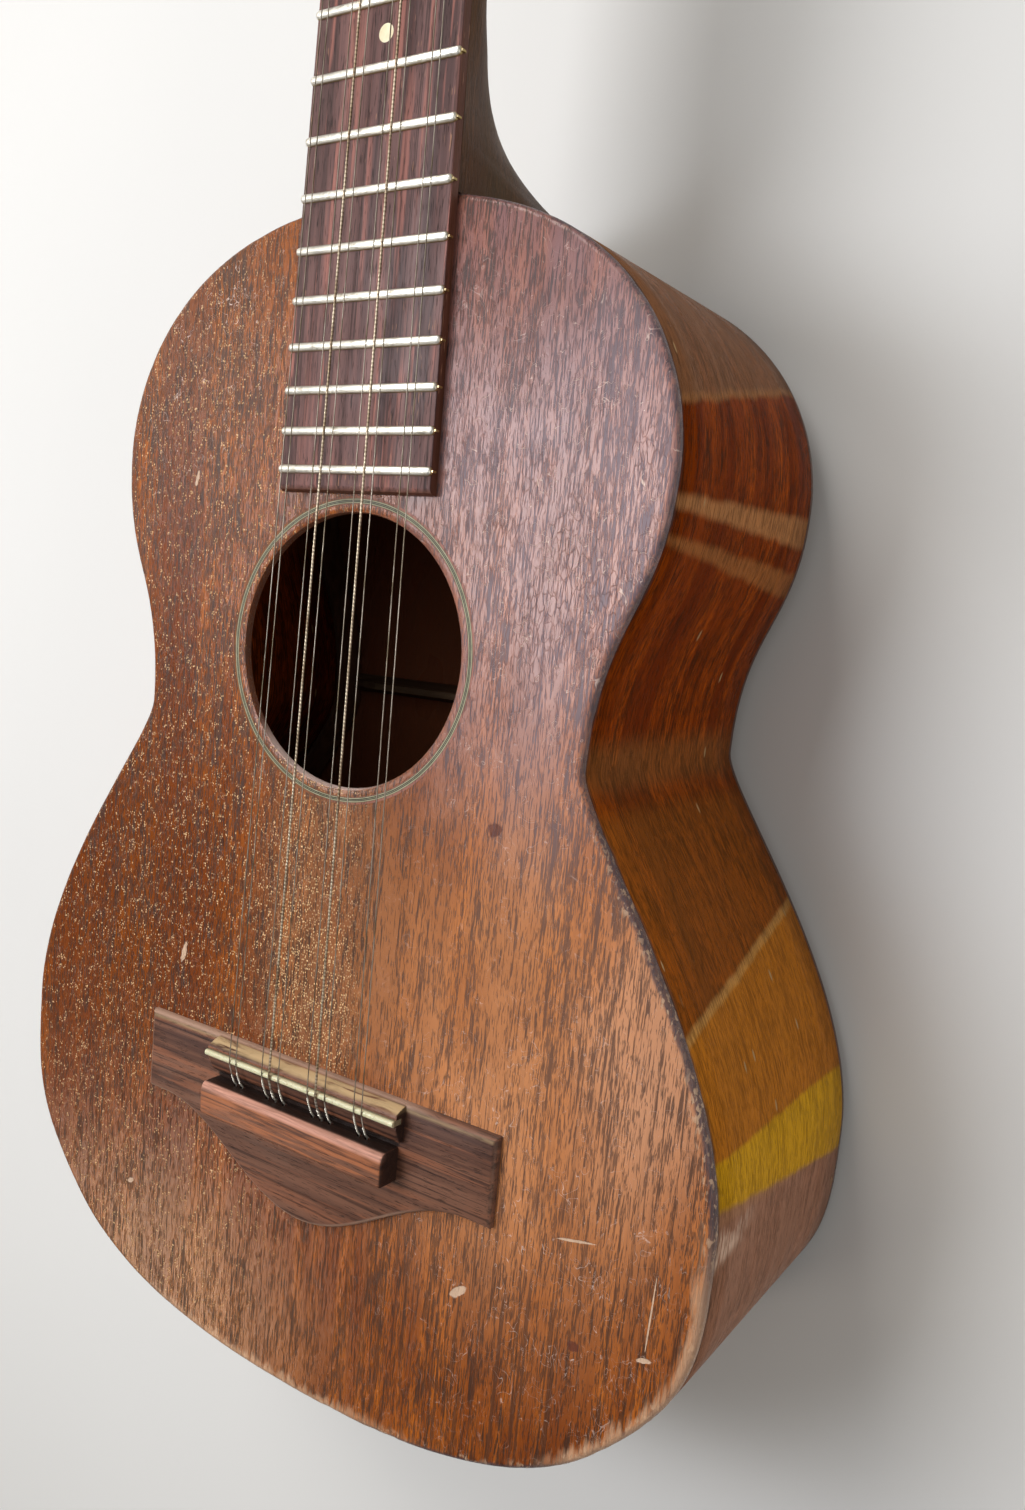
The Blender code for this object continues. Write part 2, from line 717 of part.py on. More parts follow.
def head_half_width(u):
    """The head's half width: a flared shoulder, long straight sides and rounded corners."""
    if u < HEAD_SHOULDER:
        share = 0.5 - 0.5 * math.cos(math.pi * u / HEAD_SHOULDER)
        return NUT_WIDTH / 2 + (HEAD_HALF_WIDTH_AT_SHOULDER - NUT_WIDTH / 2) * share
    share = (u - HEAD_SHOULDER) / (HEAD_LENGTH - HEAD_SHOULDER)
    width = HEAD_HALF_WIDTH_AT_SHOULDER
    width += (HEAD_HALF_WIDTH_AT_TIP - HEAD_HALF_WIDTH_AT_SHOULDER) * share
    past = max(0.0, u - HEAD_LENGTH + HEAD_CORNER)
    return width - HEAD_CORNER + math.sqrt(max(0.0, HEAD_CORNER**2 - past**2))


def head_stations():
    steps = [HEAD_SHOULDER * share for share in (0, 0.25, 0.5, 0.75, 1)]
    corner = [HEAD_LENGTH - HEAD_CORNER * share for share in (1, 0.5, 0.15, 0)]
    return [*steps, *corner]


def make_neck():
    """Neck, heel and head in one piece, with the dovetail tenon behind the heel."""
    heel_depth = DEPTH_AT_NECK - BACK_THICKNESS
    slender = NECK_DEPTH_AT_HEEL
    deep = heel_depth - slender
    # Each station of the heel: its distance ahead of the body, its depth and how far it is heel.
    stations = [
        (BODY_TOP_FROM_NUT, NECK_DEPTH_AT_NUT, 0.0),
        (90.0, 0.6 * NECK_DEPTH_AT_NUT + 0.4 * slender, 0.0),
        (58.0, slender - 1.0, 0.0),
        (44.0, slender + 1.8, 0.05),
        (36.0, slender + 0.10 * deep, 0.15),
        (30.0, slender + 0.17 * deep, 0.3),
        (24.0, slender + 0.28 * deep, 0.5),
        (19.0, slender + 0.42 * deep, 0.7),
        (15.0, slender + 0.60 * deep, 0.85),
        (12.0, slender + 0.78 * deep, 1.0),
        (10.0, slender + 0.93 * deep, 1.0),
        (8.5, heel_depth, 1.0),
        (-HEEL_PAST_BODY_EDGE, heel_depth, 1.0),
    ]
    loops = []
    for ahead, depth, heel in reversed(stations):
        y = BODY_TOP + ahead
        foot = NECK_FLAT + (HEEL_FOOT_WIDTH / 2 - NECK_FLAT) * heel

        def to_body(x, z, y=y):
            return (x, y, z)

        loops.append(neck_section(board_half_width(y), depth, foot, NECK_ROUND, heel, to_body))
    for u in head_stations():
        square = NECK_ROUND + (HEAD_SQUARE - NECK_ROUND) * min(1.0, u / HEAD_SHOULDER)

        def to_body(x, z, u=u):
            return HEAD_TO_BODY @ Vector((x, u, z))

        half = head_half_width(u)
        loops.append(neck_section(half, HEAD_THICKNESS, NECK_FLAT, square, 0, to_body))
    neck = loft("neck", loops, MAHOGANY)
    rim = inset(mirrored(HALF), -GLUE_LINE)
    body = slab("body_at_heel", rim, -2 * DEPTH_AT_NECK, BOARD_TOP, MAHOGANY)
    combine(neck, body, "DIFFERENCE")
    combine(neck, make_tenon(), "UNION")
    combine(neck, post_holes("neck_post_holes", POST_RADIUS + 2 * GAP, 8), "DIFFERENCE")


def make_tenon():
    """The dovetail, wider at its end than at its root, from the heel into the neck block."""
    root = TENON_WIDTH / 2
    end = BODY_TOP - TENON_LENGTH
    outline = [(root, BODY_TOP + 3), (root, BODY_TOP), (tenon_half_width(end), end)]
    outline += [(-x, y) for x, y in reversed(outline)]
    foot = -TENON_DEPTH_SHARE * DEPTH_AT_NECK
    return slab("tenon", outline, foot, TOP_UNDERSIDE - GAP, MAHOGANY)


def post_holes(name, radius, sides):
    ends = []
    for side in (-1, 1):
        for u in post_places():
            x = side * POST_FROM_CENTRE
            ends.append(((x, u, -HEAD_THICKNESS - 5), (x, u, VENEER_THICKNESS + 5)))
    return rods(name, ends, radius, sides, NICKEL, HEAD)


def post_places():
    return [FIRST_POST + POST_PITCH * i for i in range(POSTS_PER_SIDE)]


def make_fretboard():
    """The board with its frets, as one side profile carried across the tapering width."""
    end = fret_y(FRETS) - BOARD_PAST_LAST_FRET
    half = FRET_WIDTH / 2
    profile = [(-GLUE_LINE, BOARD_BOTTOM), (-GLUE_LINE, BOARD_TOP)]
    for number in range(1, FRETS + 1):
        y = fret_y(number)
        for across, up in ((1, 0), (0.7, 0.75), (0, 1), (-0.7, 0.75), (-1, 0)):
            profile.append((y + across * half, BOARD_TOP + up * FRET_HEIGHT))
    profile += [
        (end + BOARD_END_BEVEL, BOARD_TOP), (end, BOARD_TOP - BOARD_END_BEVEL),
        (end, BOARD_BOTTOM),
    ]
    loops = [[(s * board_half_width(y), y, z) for y, z in profile] for s in (-1, 1)]
    board = loft("fretboard", loops, ROSEWOOD)
    wells = []
    for number in DOT_FRETS:
        x, y = dot_place(number)
        wells.append(((x, y, BOARD_TOP - DOT_THICKNESS - GLUE_LINE), (x, y, BOARD_TOP + 2)))
    wells = rods("dot_wells", wells, DOT_RADIUS + GLUE_LINE, 12, IVORY)
    combine(board, wells, "DIFFERENCE")


def dot_place(number):
    return (0, (fret_y(number - 1) + fret_y(number)) / 2)


def make_dots():
    for number in DOT_FRETS:
        x, y = dot_place(number)
        ends = [((x, y, BOARD_TOP - DOT_THICKNESS), (x, y, BOARD_TOP))]
        rods(f"dot_{number}", ends, DOT_RADIUS, 12, IVORY)


def make_veneer():
    """The rosewood face of the head, pierced by the posts."""
    widths = [(head_half_width(u), u) for u in head_stations()]
    widths[0] = (NUT_WIDTH / 2, GLUE_LINE)
    outline = [*widths, *((-x, u) for x, u in reversed(widths))]
    holes = [
        circle(POST_RADIUS + 1.5 * GAP, 10, (side * POST_FROM_CENTRE, u))
        for side in (-1, 1) for u in post_places()
    ]
    pierced_slab(
        "head_veneer", outline, holes, GLUE_LINE, GLUE_LINE + VENEER_THICKNESS, ROSEWOOD, HEAD
    )


def make_nut():
    """The nut with a slot for each string, lower at its head side."""
    half = NUT_WIDTH / 2
    loops = []
    for y, fall in ((GLUE_LINE, 0), (NUT_THICKNESS, NUT_SLOT_FALL)):
        top = NUT_TOP - fall
        loop = [(-half, GLUE_LINE), (-half, top)]
        for radius, _, x in STRINGS:
            wide = radius + STRING_CLEARANCE
            floor = top - NUT_SLOT_DEPTH
            loop += [(x - wide, top), (x - wide, floor), (x + wide, floor), (x + wide, top)]
        loop += [(half, top), (half, GLUE_LINE)]
        loops.append([(x, y, z) for x, z in loop])
    loft("nut", loops, BONE)


def bridge_outline():
    """The base: straight wings ahead of a belly that swells towards the tail."""
    rear = BRIDGE_FRONT - WING_LENGTH
    half = BELLY_WIDTH / 2
    start = Vector((half, rear))
    end = Vector((0, rear - BELLY_LENGTH))
    hold = Vector((BELLY_ROUNDNESS * half, 0))
    belly = interpolate_bezier(start, start - hold, end + hold, end, 10)
    right = [(0, BRIDGE_FRONT), (BRIDGE_WIDTH / 2, BRIDGE_FRONT), (BRIDGE_WIDTH / 2, rear)]
    return mirrored([*right, *((p.x, p.y) for p in belly)])


def make_bridge():
    """Base, saddle block and tie block in one piece, with the saddle's slot and string holes."""
    outline = bridge_outline()
    loops = [[(x, y, z) for x, y in inset(outline, distance)] for distance, z in (
        (0, GLUE_LINE), (0, WING_THICKNESS - WING_CHAMFER), (WING_CHAMFER, WING_THICKNESS),
    )]
    bridge = loft("bridge", loops, ROSEWOOD)
    channel = SADDLE_Y - CHANNEL_BEHIND_SADDLE
    tie_front = channel - CHANNEL_LENGTH
    block_front = BRIDGE_FRONT - BLOCK_BEHIND_EDGE
    sunk = WING_THICKNESS - BLOCK_SUNK
    block = [
        (block_front, sunk), (block_front - BLOCK_FRONT_RAKE, BLOCK_TOP),
        (SADDLE_Y - RAMP_BEHIND_SADDLE, BLOCK_TOP),
        (channel, STRING_HOLE_HEIGHT - RAMP_BELOW_HOLES), (channel, sunk),
    ]
    tie = [
        (tie_front, sunk), (tie_front, TIE_BLOCK_TOP),
        (tie_front - TIE_BLOCK_LENGTH, TIE_BLOCK_TOP), (tie_front - TIE_BLOCK_LENGTH, sunk),
    ]
    pieces = (("saddle_block", block, BLOCK_WIDTH), ("tie_block", tie, TIE_BLOCK_WIDTH))
    for name, profile, width in pieces:
        loops = [[(s * width / 2, y, z) for y, z in profile] for s in (-1, 1)]
        piece = loft(name, loops, ROSEWOOD)
        soften(piece, BLOCK_ROUNDING, 2)
        combine(bridge, piece, "UNION")
    room = SADDLE_THICKNESS / 2 + GLUE_LINE
    slot = box("saddle_slot", (-BLOCK_WIDTH, SADDLE_Y - room, SADDLE_SLOT_FLOOR - GLUE_LINE),
               (BLOCK_WIDTH, SADDLE_Y + room, BLOCK_TOP + 5), ROSEWOOD)
    combine(bridge, slot, "DIFFERENCE")
    ends = [
        ((x, channel, STRING_HOLE_HEIGHT), (x, tie_front - TIE_BLOCK_LENGTH - 2, STRING_HOLE_HEIGHT))
        for _, x, _ in STRINGS
    ]
    holes = rods("string_holes", ends, STRING_HOLE_RADIUS, 6, ROSEWOOD)
    combine(bridge, holes, "DIFFERENCE")


def make_saddle():
    """The bone strip, with a rounded crest that the strings cross."""
    half = SADDLE_THICKNESS / 2
    flat = SADDLE_FLAT_SHARE * half
    shoulder = SADDLE_TOP - SADDLE_ROUNDING
    profile = [
        (SADDLE_Y + half, SADDLE_SLOT_FLOOR), (SADDLE_Y + half, shoulder),
        (SADDLE_Y + flat, SADDLE_TOP), (SADDLE_Y - flat, SADDLE_TOP),
        (SADDLE_Y - half, shoulder), (SADDLE_Y - half, SADDLE_SLOT_FLOOR),
    ]
    x = BLOCK_WIDTH / 2
    loft("saddle", [[(s * x, y, z) for y, z in profile] for s in (-1, 1)], BONE)


def post_of(index):
    """Side and distance along the head of the post that a string goes to."""
    side = -1 if index < POSTS_PER_SIDE else 1
    order = index if side < 0 else len(STRINGS) - 1 - index
    return side, post_places()[order]


def wrap_points(index, radius):
    """The windings on a post, from the lowest, where the string arrives, upwards."""
    side, u = post_of(index)
    reach = POST_WAIST_RADIUS + GAP + radius
    per_turn = 8
    pitch = 2 * radius + WRAP_SPACE
    points = []
    for i in range(round(WRAP_TURNS * per_turn) + 1):
        turns = i / per_turn
        angle = math.pi - 2 * math.pi * turns
        x = side * (POST_FROM_CENTRE + reach * math.cos(angle))
        points.append(Vector((x, u + reach * math.sin(angle), WRAP_START + pitch * turns)))
    return points


def least_gap(points, radius, apart):
    """The least room between stretches of one string that lie this many points apart."""
    pairs = ((a, b) for i, a in enumerate(points) for b in points[i + apart:])
    return min((a - b).length for a, b in pairs) - 2 * radius


def make_strings():
    """Each string from its ball behind the tie block to its windings on a post."""
    tie_rear = SADDLE_Y - CHANNEL_BEHIND_SADDLE - CHANNEL_LENGTH - TIE_BLOCK_LENGTH
    tie_front = tie_rear + TIE_BLOCK_LENGTH
    for index, (radius, x, nut_x) in enumerate(STRINGS):
        ball = BALL_RADIUS / radius
        rear = tie_rear - GAP
        over = SADDLE_TOP + STRING_CLEARANCE + radius
        nut_z = NUT_TOP - NUT_SLOT_DEPTH + STRING_CLEARANCE + radius
        route = [
            ((x, rear - BALL_LENGTH, STRING_HOLE_HEIGHT), ball),
            ((x, rear, STRING_HOLE_HEIGHT), ball),
            ((x, rear + 0.1, STRING_HOLE_HEIGHT), 1.0),
            ((x, tie_front + 0.5, STRING_HOLE_HEIGHT), TWIST_SHARE),
            ((x, SADDLE_Y - TWIST_END_BEHIND_SADDLE, over - TWIST_END_BELOW_SADDLE), TWIST_SHARE),
            ((x, SADDLE_Y - BARE_BEHIND_SADDLE, over - BARE_BELOW_SADDLE), 1.0),
            ((x, SADDLE_Y, over), 1.0),
            ((nut_x, 0, nut_z), 1.0),
            ((nut_x, NUT_THICKNESS, nut_z - NUT_SLOT_FALL), 1.0),
        ]
        wraps = wrap_points(index, radius)
        room = least_gap(wraps, radius, 6)
        print(f"string {index + 1}: least gap between its windings {room:.2f} mm")
        route += [(HEAD_TO_BODY @ p, 1.0) for p in wraps]
        curve = bpy.data.curves.new(f"string_{index + 1}", "CURVE")
        curve.dimensions = "3D"
        curve.bevel_depth = radius * MM
        curve.bevel_resolution = 1
        curve.use_fill_caps = True
        spline = curve.splines.new("POLY")
        spline.points.add(len(route) - 1)
        for point, (place, share) in zip(spline.points, route):
            point.co = (*(Vector(place) * MM), 1)
            point.radius = share
        add_object(curve.name, curve, BRONZE if radius == WOUND else STEEL)


def make_plate(name, side):
    """A plate with its post bearings, and two lugs to carry each worm."""
    x = side * POST_FROM_CENTRE
    half = PLATE_WIDTH / 2
    low = FIRST_POST - WHEEL_TO_WORM - PLATE_PAST_WORM
    high = post_places()[-1] + PLATE_PAST_LAST_POST
    cut = half * 0.4
    outline = [
        (x - half, low + cut), (x - half + cut, low), (x + half - cut, low), (x + half, low + cut),
        (x + half, high - cut), (x + half - cut, high), (x - half + cut, high),
        (x - half, high - cut),
    ]
    bearing = (POST_RADIUS + BEARING_CLEARANCE) / math.cos(math.pi / 12)
    holes = [circle(bearing, 12, (x, u)) for u in post_places()]
    plate = pierced_slab(
        name, outline, holes, PLATE_FACE, PLATE_FACE + PLATE_THICKNESS, NICKEL, HEAD
    )
    combine(plate, make_lugs(f"{name}_lugs", x), "UNION")
    ends = []
    for u in post_places():
        reach = PLATE_WIDTH
        worm_u = u - WHEEL_TO_WORM
        ends.append(((x - reach, worm_u, WORM_LEVEL), (x + reach, worm_u, WORM_LEVEL)))
    bore = (SHAFT_RADIUS + BEARING_CLEARANCE) / math.cos(math.pi / 8)
    bores = rods(f"{name}_shaft_bores", ends, bore, 8, NICKEL, HEAD)
    combine(plate, bores, "DIFFERENCE")


def make_lugs(name, x):
    """Round-topped ears, two for each worm, that stand on the plate."""
    bm = bmesh.new()
    for u in post_places():
        for way in (-1, 1):
            outline = [(LUG_WIDTH / 2, PLATE_FACE + 0.5)]
            for i in range(5):
                angle = math.pi * i / 4
                outline.append((
                    LUG_WIDTH / 2 * math.cos(angle),
                    WORM_LEVEL - LUG_PAST_SHAFT * math.sin(angle),
                ))
            outline.append((-LUG_WIDTH / 2, PLATE_FACE + 0.5))
            near = x + way * LUG_INNER_FACE
            faces = (near, near + way * LUG_THICKNESS)
            rows = skin(bm, [
                [(face, u - WHEEL_TO_WORM + along, w) for along, w in outline] for face in faces
            ])
            bm.faces.new(rows[0])
            bm.faces.new(rows[1])
    return add_object(name, finish_mesh(bm, name), NICKEL, HEAD)


def wheel_loop(w):
    """The gear's outline, with a gap facing the worm."""
    pitch_angle = 2 * math.pi / WHEEL_TEETH
    tip = WHEEL_PITCH_RADIUS + ADDENDUM
    root = WHEEL_PITCH_RADIUS - DEDENDUM
    points = []
    for i in range(WHEEL_TEETH):
        middle = -math.pi / 2 + (i + 0.5) * pitch_angle
        for radius, share in (
            (root, -TOOTH_FOOT), (tip, -TOOTH_CREST), (tip, TOOTH_CREST), (root, TOOTH_FOOT),
        ):
            angle = middle + share * pitch_angle
            points.append((radius * math.cos(angle), radius * math.sin(angle), w))
    return points


def make_post(name, side, u):
    """A string post in one with its gear wheel. The origin lies on its axis."""
    wheel_top = WORM_LEVEL + WHEEL_THICKNESS / 2
    wheel_foot = WORM_LEVEL - WHEEL_THICKNESS / 2
    boss = PLATE_FACE - BEARING_CLEARANCE

    def round_loop(radius, w):
        return [(x, y, w) for x, y in circle(radius, 10)]

    bm = bmesh.new()
    shaft = skin(bm, [
        round_loop(POST_RADIUS * 0.8, POST_TOP),
        round_loop(POST_RADIUS, POST_TOP - 0.6),
        round_loop(POST_RADIUS, POST_WAIST_HIGH + POST_WAIST_SLOPE),
        round_loop(POST_WAIST_RADIUS, POST_WAIST_HIGH),
        round_loop(POST_WAIST_RADIUS, POST_WAIST_LOW),
        round_loop(POST_RADIUS, POST_WAIST_LOW - POST_WAIST_SLOPE),
        round_loop(POST_RADIUS, boss),
        round_loop(POST_RADIUS + POST_BOSS, boss),
        round_loop(POST_RADIUS + POST_BOSS, wheel_top),
    ])
    bm.faces.new(shaft[0])
    wheel = skin(bm, [wheel_loop(wheel_top), wheel_loop(wheel_foot)])
    fill_between(bm, wheel[0], shaft[-1])
    bm.faces.new(wheel[1])
    place = (side * POST_FROM_CENTRE, u, 0)
    add_object(name, finish_mesh(bm, name), NICKEL, HEAD, place)


def thread_rows(columns):
    """The worm's surface: rows of (x, radius) for each column round its axis."""
    crest = WORM_PITCH_RADIUS + ADDENDUM
    root = WORM_PITCH_RADIUS - DEDENDUM
    start = -WORM_LENGTH / 2
    turns = math.ceil(WORM_LENGTH / THREAD_PITCH) + 2
    # Across one pitch, from the middle of the space before a thread: foot, crest, crest, foot.
    profile = (
        (-TOOTH_FOOT, root), (-TOOTH_CREST, crest), (TOOTH_CREST, crest), (TOOTH_FOOT, root),
    )
    whole = math.ceil(WORM_LENGTH / 2 / THREAD_PITCH) + 1
    grid = []
    for column in range(columns):
        rows = []
        for turn in range(turns):
            for share, radius in profile:
                x = THREAD_PITCH * (turn - whole + column / columns + share)
                if abs(x) > WORM_LENGTH / 2:
                    x = math.copysign(start, x)
                    radius = root
                rows.append((x, radius))
        grid.append(rows)
    return grid


def make_worm(name, side, u):
    """A worm on its shaft with its button. The origin lies on its axis, at the thread's middle."""
    columns = 8
    grid = thread_rows(columns)
    bm = bmesh.new()
    verts = []
    for column, rows in enumerate(grid):
        angle = 2 * math.pi * column / columns
        verts.append([
            bm.verts.new((x, r * math.cos(angle), r * math.sin(angle))) for x, r in rows
        ])
    count = len(verts[0])
    for column in range(columns):
        wrapped = column == columns - 1
        ahead = verts[0][4:] if wrapped else verts[column + 1]
        behind = verts[column]
        for row in range(count - 1):
            a, b = behind[row], behind[row + 1]
            if not wrapped or row + 5 < count:
                bm.faces.new((a, b, ahead[row + 1], ahead[row]))
    ends = shaft_loops(side, columns)
    for loops in ends:
        rows = skin(bm, loops)
        bm.faces.new(rows[-1])
    place = (side * POST_FROM_CENTRE, u - WHEEL_TO_WORM, WORM_LEVEL)
    add_object(name, finish_mesh(bm, name), NICKEL, HEAD, place)


def shaft_loops(side, columns):
    """The plain shaft inside the thread's inner end, and the shaft and button beyond the other."""
    root = WORM_PITCH_RADIUS - DEDENDUM
    lug_end = LUG_INNER_FACE + LUG_THICKNESS

    def loop(x, across, thick, way):
        turns = (2 * math.pi * i / columns for i in range(columns))
        return [(way * x, across * math.cos(a), thick * math.sin(a)) for a in turns]

    inner = ((WORM_LENGTH / 2, root, root), (WORM_LENGTH / 2, SHAFT_RADIUS, SHAFT_RADIUS),
             (lug_end + GAP, SHAFT_RADIUS, SHAFT_RADIUS))
    wide, thick = BUTTON_WIDTH / 2, BUTTON_THICKNESS / 2
    button = [
        (BUTTON_START + BUTTON_LENGTH * along, wide * across, thick * deep)
        for along, across, deep in (
            (0.0, 0.4, 0.6), (0.2, 0.75, 0.85), (0.5, 1.0, 1.0), (0.8, 0.85, 0.9), (1.0, 0.4, 0.45),
        )
    ]
    outer = (*inner[:2], (BUTTON_START, SHAFT_RADIUS, SHAFT_RADIUS), *button)
    return [
        [loop(*ring, -side) for ring in inner],
        [loop(*ring, side) for ring in outer],
    ]


def make_tuners():
    make_plate("tuner_plate_bass", -1)
    make_plate("tuner_plate_treble", 1)
    for index in range(len(STRINGS)):
        side, u = post_of(index)
        make_post(f"post_{index + 1}", side, u)
        make_worm(f"worm_{index + 1}", side, u)


def centre_on_origin():
    """Moves the root so that the origin lies under the middle of the instrument's box."""
    bpy.context.view_layer.update()
    graph = bpy.context.evaluated_depsgraph_get()
    corners = []
    for obj in PARTS.objects:
        if obj.type == "MESH":
            solid = obj.evaluated_get(graph)
            corners += [solid.matrix_world @ Vector(corner) for corner in solid.bound_box]
    low = Vector([min(c[axis] for c in corners) for axis in range(3)])
    high = Vector([max(c[axis] for c in corners) for axis in range(3)])
    ROOT.location = (0, -(low.y + high.y) / 2, -low.z)


make_soundboard()
make_rosette()
make_back()
make_sides()
make_neck_block()
make_tail_block()
make_linings()
make_top_braces()
make_back_braces()
make_bridge_plate()
make_neck()
make_fretboard()
make_dots()
make_veneer()
make_nut()
make_bridge()
make_saddle()
make_strings()
make_tuners()
centre_on_origin()
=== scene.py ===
import math

import bmesh
import bpy
from mathutils import Matrix, Vector, noise
from mathutils.geometry import interpolate_bezier, intersect_line_line_2d
from mathutils.kdtree import KDTree


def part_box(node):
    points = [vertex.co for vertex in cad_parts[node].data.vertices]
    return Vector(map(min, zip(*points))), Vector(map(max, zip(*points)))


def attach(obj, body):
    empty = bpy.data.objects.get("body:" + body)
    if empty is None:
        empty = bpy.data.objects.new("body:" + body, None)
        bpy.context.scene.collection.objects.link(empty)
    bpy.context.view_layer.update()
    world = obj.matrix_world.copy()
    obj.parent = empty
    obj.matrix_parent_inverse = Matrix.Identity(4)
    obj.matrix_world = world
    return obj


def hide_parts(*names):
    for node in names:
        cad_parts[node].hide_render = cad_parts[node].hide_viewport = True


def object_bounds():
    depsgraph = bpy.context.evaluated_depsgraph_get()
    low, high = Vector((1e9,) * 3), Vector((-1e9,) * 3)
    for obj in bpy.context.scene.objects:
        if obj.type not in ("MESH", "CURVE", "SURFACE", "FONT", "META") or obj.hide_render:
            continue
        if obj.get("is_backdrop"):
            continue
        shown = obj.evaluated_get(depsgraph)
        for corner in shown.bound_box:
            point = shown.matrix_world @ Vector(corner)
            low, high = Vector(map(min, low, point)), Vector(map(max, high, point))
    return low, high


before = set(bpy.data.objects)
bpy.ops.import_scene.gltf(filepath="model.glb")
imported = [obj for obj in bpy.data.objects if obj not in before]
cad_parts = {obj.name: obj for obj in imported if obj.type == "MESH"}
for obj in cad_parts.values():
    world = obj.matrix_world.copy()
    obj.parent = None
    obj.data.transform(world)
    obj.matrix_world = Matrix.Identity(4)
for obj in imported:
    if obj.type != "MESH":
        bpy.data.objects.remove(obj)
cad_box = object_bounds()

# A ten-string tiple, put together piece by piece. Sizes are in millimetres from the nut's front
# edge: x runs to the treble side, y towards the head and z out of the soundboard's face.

# The studio. The tiple lies on its back on a pale floor. A long soft light over the bass side
# shines in the varnish of the upper treble bout, and broad soft lights fill the rest.
mm = 0.001
nut_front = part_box("soundboard")[1].y + 203.4 * mm
soundboard_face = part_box("soundboard")[1].z
scene = bpy.context.scene


def on_bench(x, y, z):
    """The place in the room of a point measured from the nut."""
    return Vector((x * mm, nut_front + y * mm, soundboard_face + z * mm))


class Finish:
    """A finish being mixed: each call adds a node and returns a socket that the next one takes."""

    def __init__(self, name):
        self.material = bpy.data.materials.new(name)
        self.material.use_nodes = True
        self.tree = self.material.node_tree
        self.surface = self.tree.nodes["Principled BSDF"]
        self.place = self.add("TexCoord").outputs["Object"]

    def add(self, kind, feeds=None, **settings):
        node = self.tree.nodes.new("ShaderNode" + kind)
        for key, value in settings.items():
            setattr(node, key, value)
        for key, value in (feeds or {}).items():
            self.pour(node.inputs[key], value)
        return node

    def pour(self, socket, value):
        if isinstance(value, bpy.types.NodeSocket):
            self.tree.links.new(value, socket)
        else:
            socket.default_value = value

    def sum(self, a, b, how="ADD"):
        return self.add("Math", {0: a, 1: b}, operation=how).outputs[0]

    def less(self, a, b):
        return self.sum(a, b, "SUBTRACT")

    def times(self, a, b):
        return self.sum(a, b, "MULTIPLY")

    def either(self, a, b):
        return self.sum(a, b, "MAXIMUM")

    def off_zero(self, a):
        return self.sum(a, 0.0, "ABSOLUTE")

    def vector(self, how, a, b=(0, 0, 0)):
        return self.add("VectorMath", {0: a, 1: b}, operation=how).outputs["Value" if how == "LENGTH" else 0]

    def xyz(self, vector=None):
        """The three parts of a vector, or of the place on the object."""
        return self.add("SeparateXYZ", {0: vector or self.place}).outputs

    def cloud(self, grain, detail=2, warp=0.0, rough=0.5):
        """A cloudy value whose patches are as long as grain says, in mm along x, y and z."""
        scaled = self.vector("MULTIPLY", self.place, [1000 / g for g in grain])
        return self.add("TexNoise", {"Vector": scaled, "Scale": 1, "Detail": detail,
                                     "Roughness": rough, "Distortion": warp}).outputs[0]

    def patches(self, grain, low, high, start=0.0, end=1.0, **kind):
        return self.between(self.cloud(grain, **kind), low, high, start, end)

    def cells(self, grain, feature="DISTANCE_TO_EDGE", warp=0.0):
        """Cells about as long as grain says: the distance to their edges or to their middles."""
        scaled = self.vector("MULTIPLY", self.place, [1000 / g for g in grain])
        if warp:
            bend = self.add("TexNoise", {"Vector": scaled, "Scale": 0.7, "Detail": 2}).outputs["Color"]
            scaled = self.vector("ADD", scaled, self.vector("MULTIPLY", bend, [warp] * 3))
        return self.add("TexVoronoi", {"Vector": scaled, "Scale": 1}, feature=feature)

    def between(self, value, low, high, start=0.0, end=1.0):
        """start where the value is at low, end where it is at high, and smooth between them."""
        return self.add("MapRange", {0: value, 1: low, 2: high, 3: start, 4: end},
                        interpolation_type="SMOOTHSTEP").outputs[0]

    def mix(self, share, a, b):
        colours = [c if isinstance(c, bpy.types.NodeSocket) else (*c, 1) for c in (a, b)]
        return self.add("Mix", {0: share, 6: colours[0], 7: colours[1]}, data_type="RGBA").outputs[2]

    def stain(self, share, tone, strength=None):
        """Colours the finish with a tone, as much as share says."""
        if strength is not None:
            share = self.times(share, strength)
        self.colour = self.mix(share, self.colour, tone)

    def along(self, axis, low, high, start=0.0, end=1.0):
        """start before one place along x, y or z, in mm from the nut, and end past another."""
        axis = "xyz".index(axis)
        nut = on_bench(0, 0, 0)[axis]
        return self.between(self.xyz()[axis], nut + low * mm, nut + high * mm, start, end)

    def pool(self, x, y, across, along, soft=0.2):
        """1 in the middle of an oval on the soundboard and 0 outside it."""
        off = self.vector("SUBTRACT", self.place, on_bench(x, y, 0))
        off = self.vector("MULTIPLY", off, (1000 / across, 1000 / along, 0))
        away = self.vector("LENGTH", off)
        return self.between(away, soft, 1.0, 1.0, 0.0)

    def relief(self, height, depth, under=None):
        """Raises the surface by up to depth, in mm, where the height is 1."""
        feeds = {"Height": height, "Distance": depth * mm, "Strength": 1.0}
        if under:
            feeds["Normal"] = under
        return self.add("Bump", feeds).outputs[0]

    def done(self, roughness, normal=None, **fixed):
        self.pour(self.surface.inputs["Base Color"], self.colour)
        self.pour(self.surface.inputs["Roughness"], roughness)
        if normal:
            self.pour(self.surface.inputs["Normal"], normal)
        for key, value in fixed.items():
            self.surface.inputs[key.replace("_", " ")].default_value = value
        return self.material


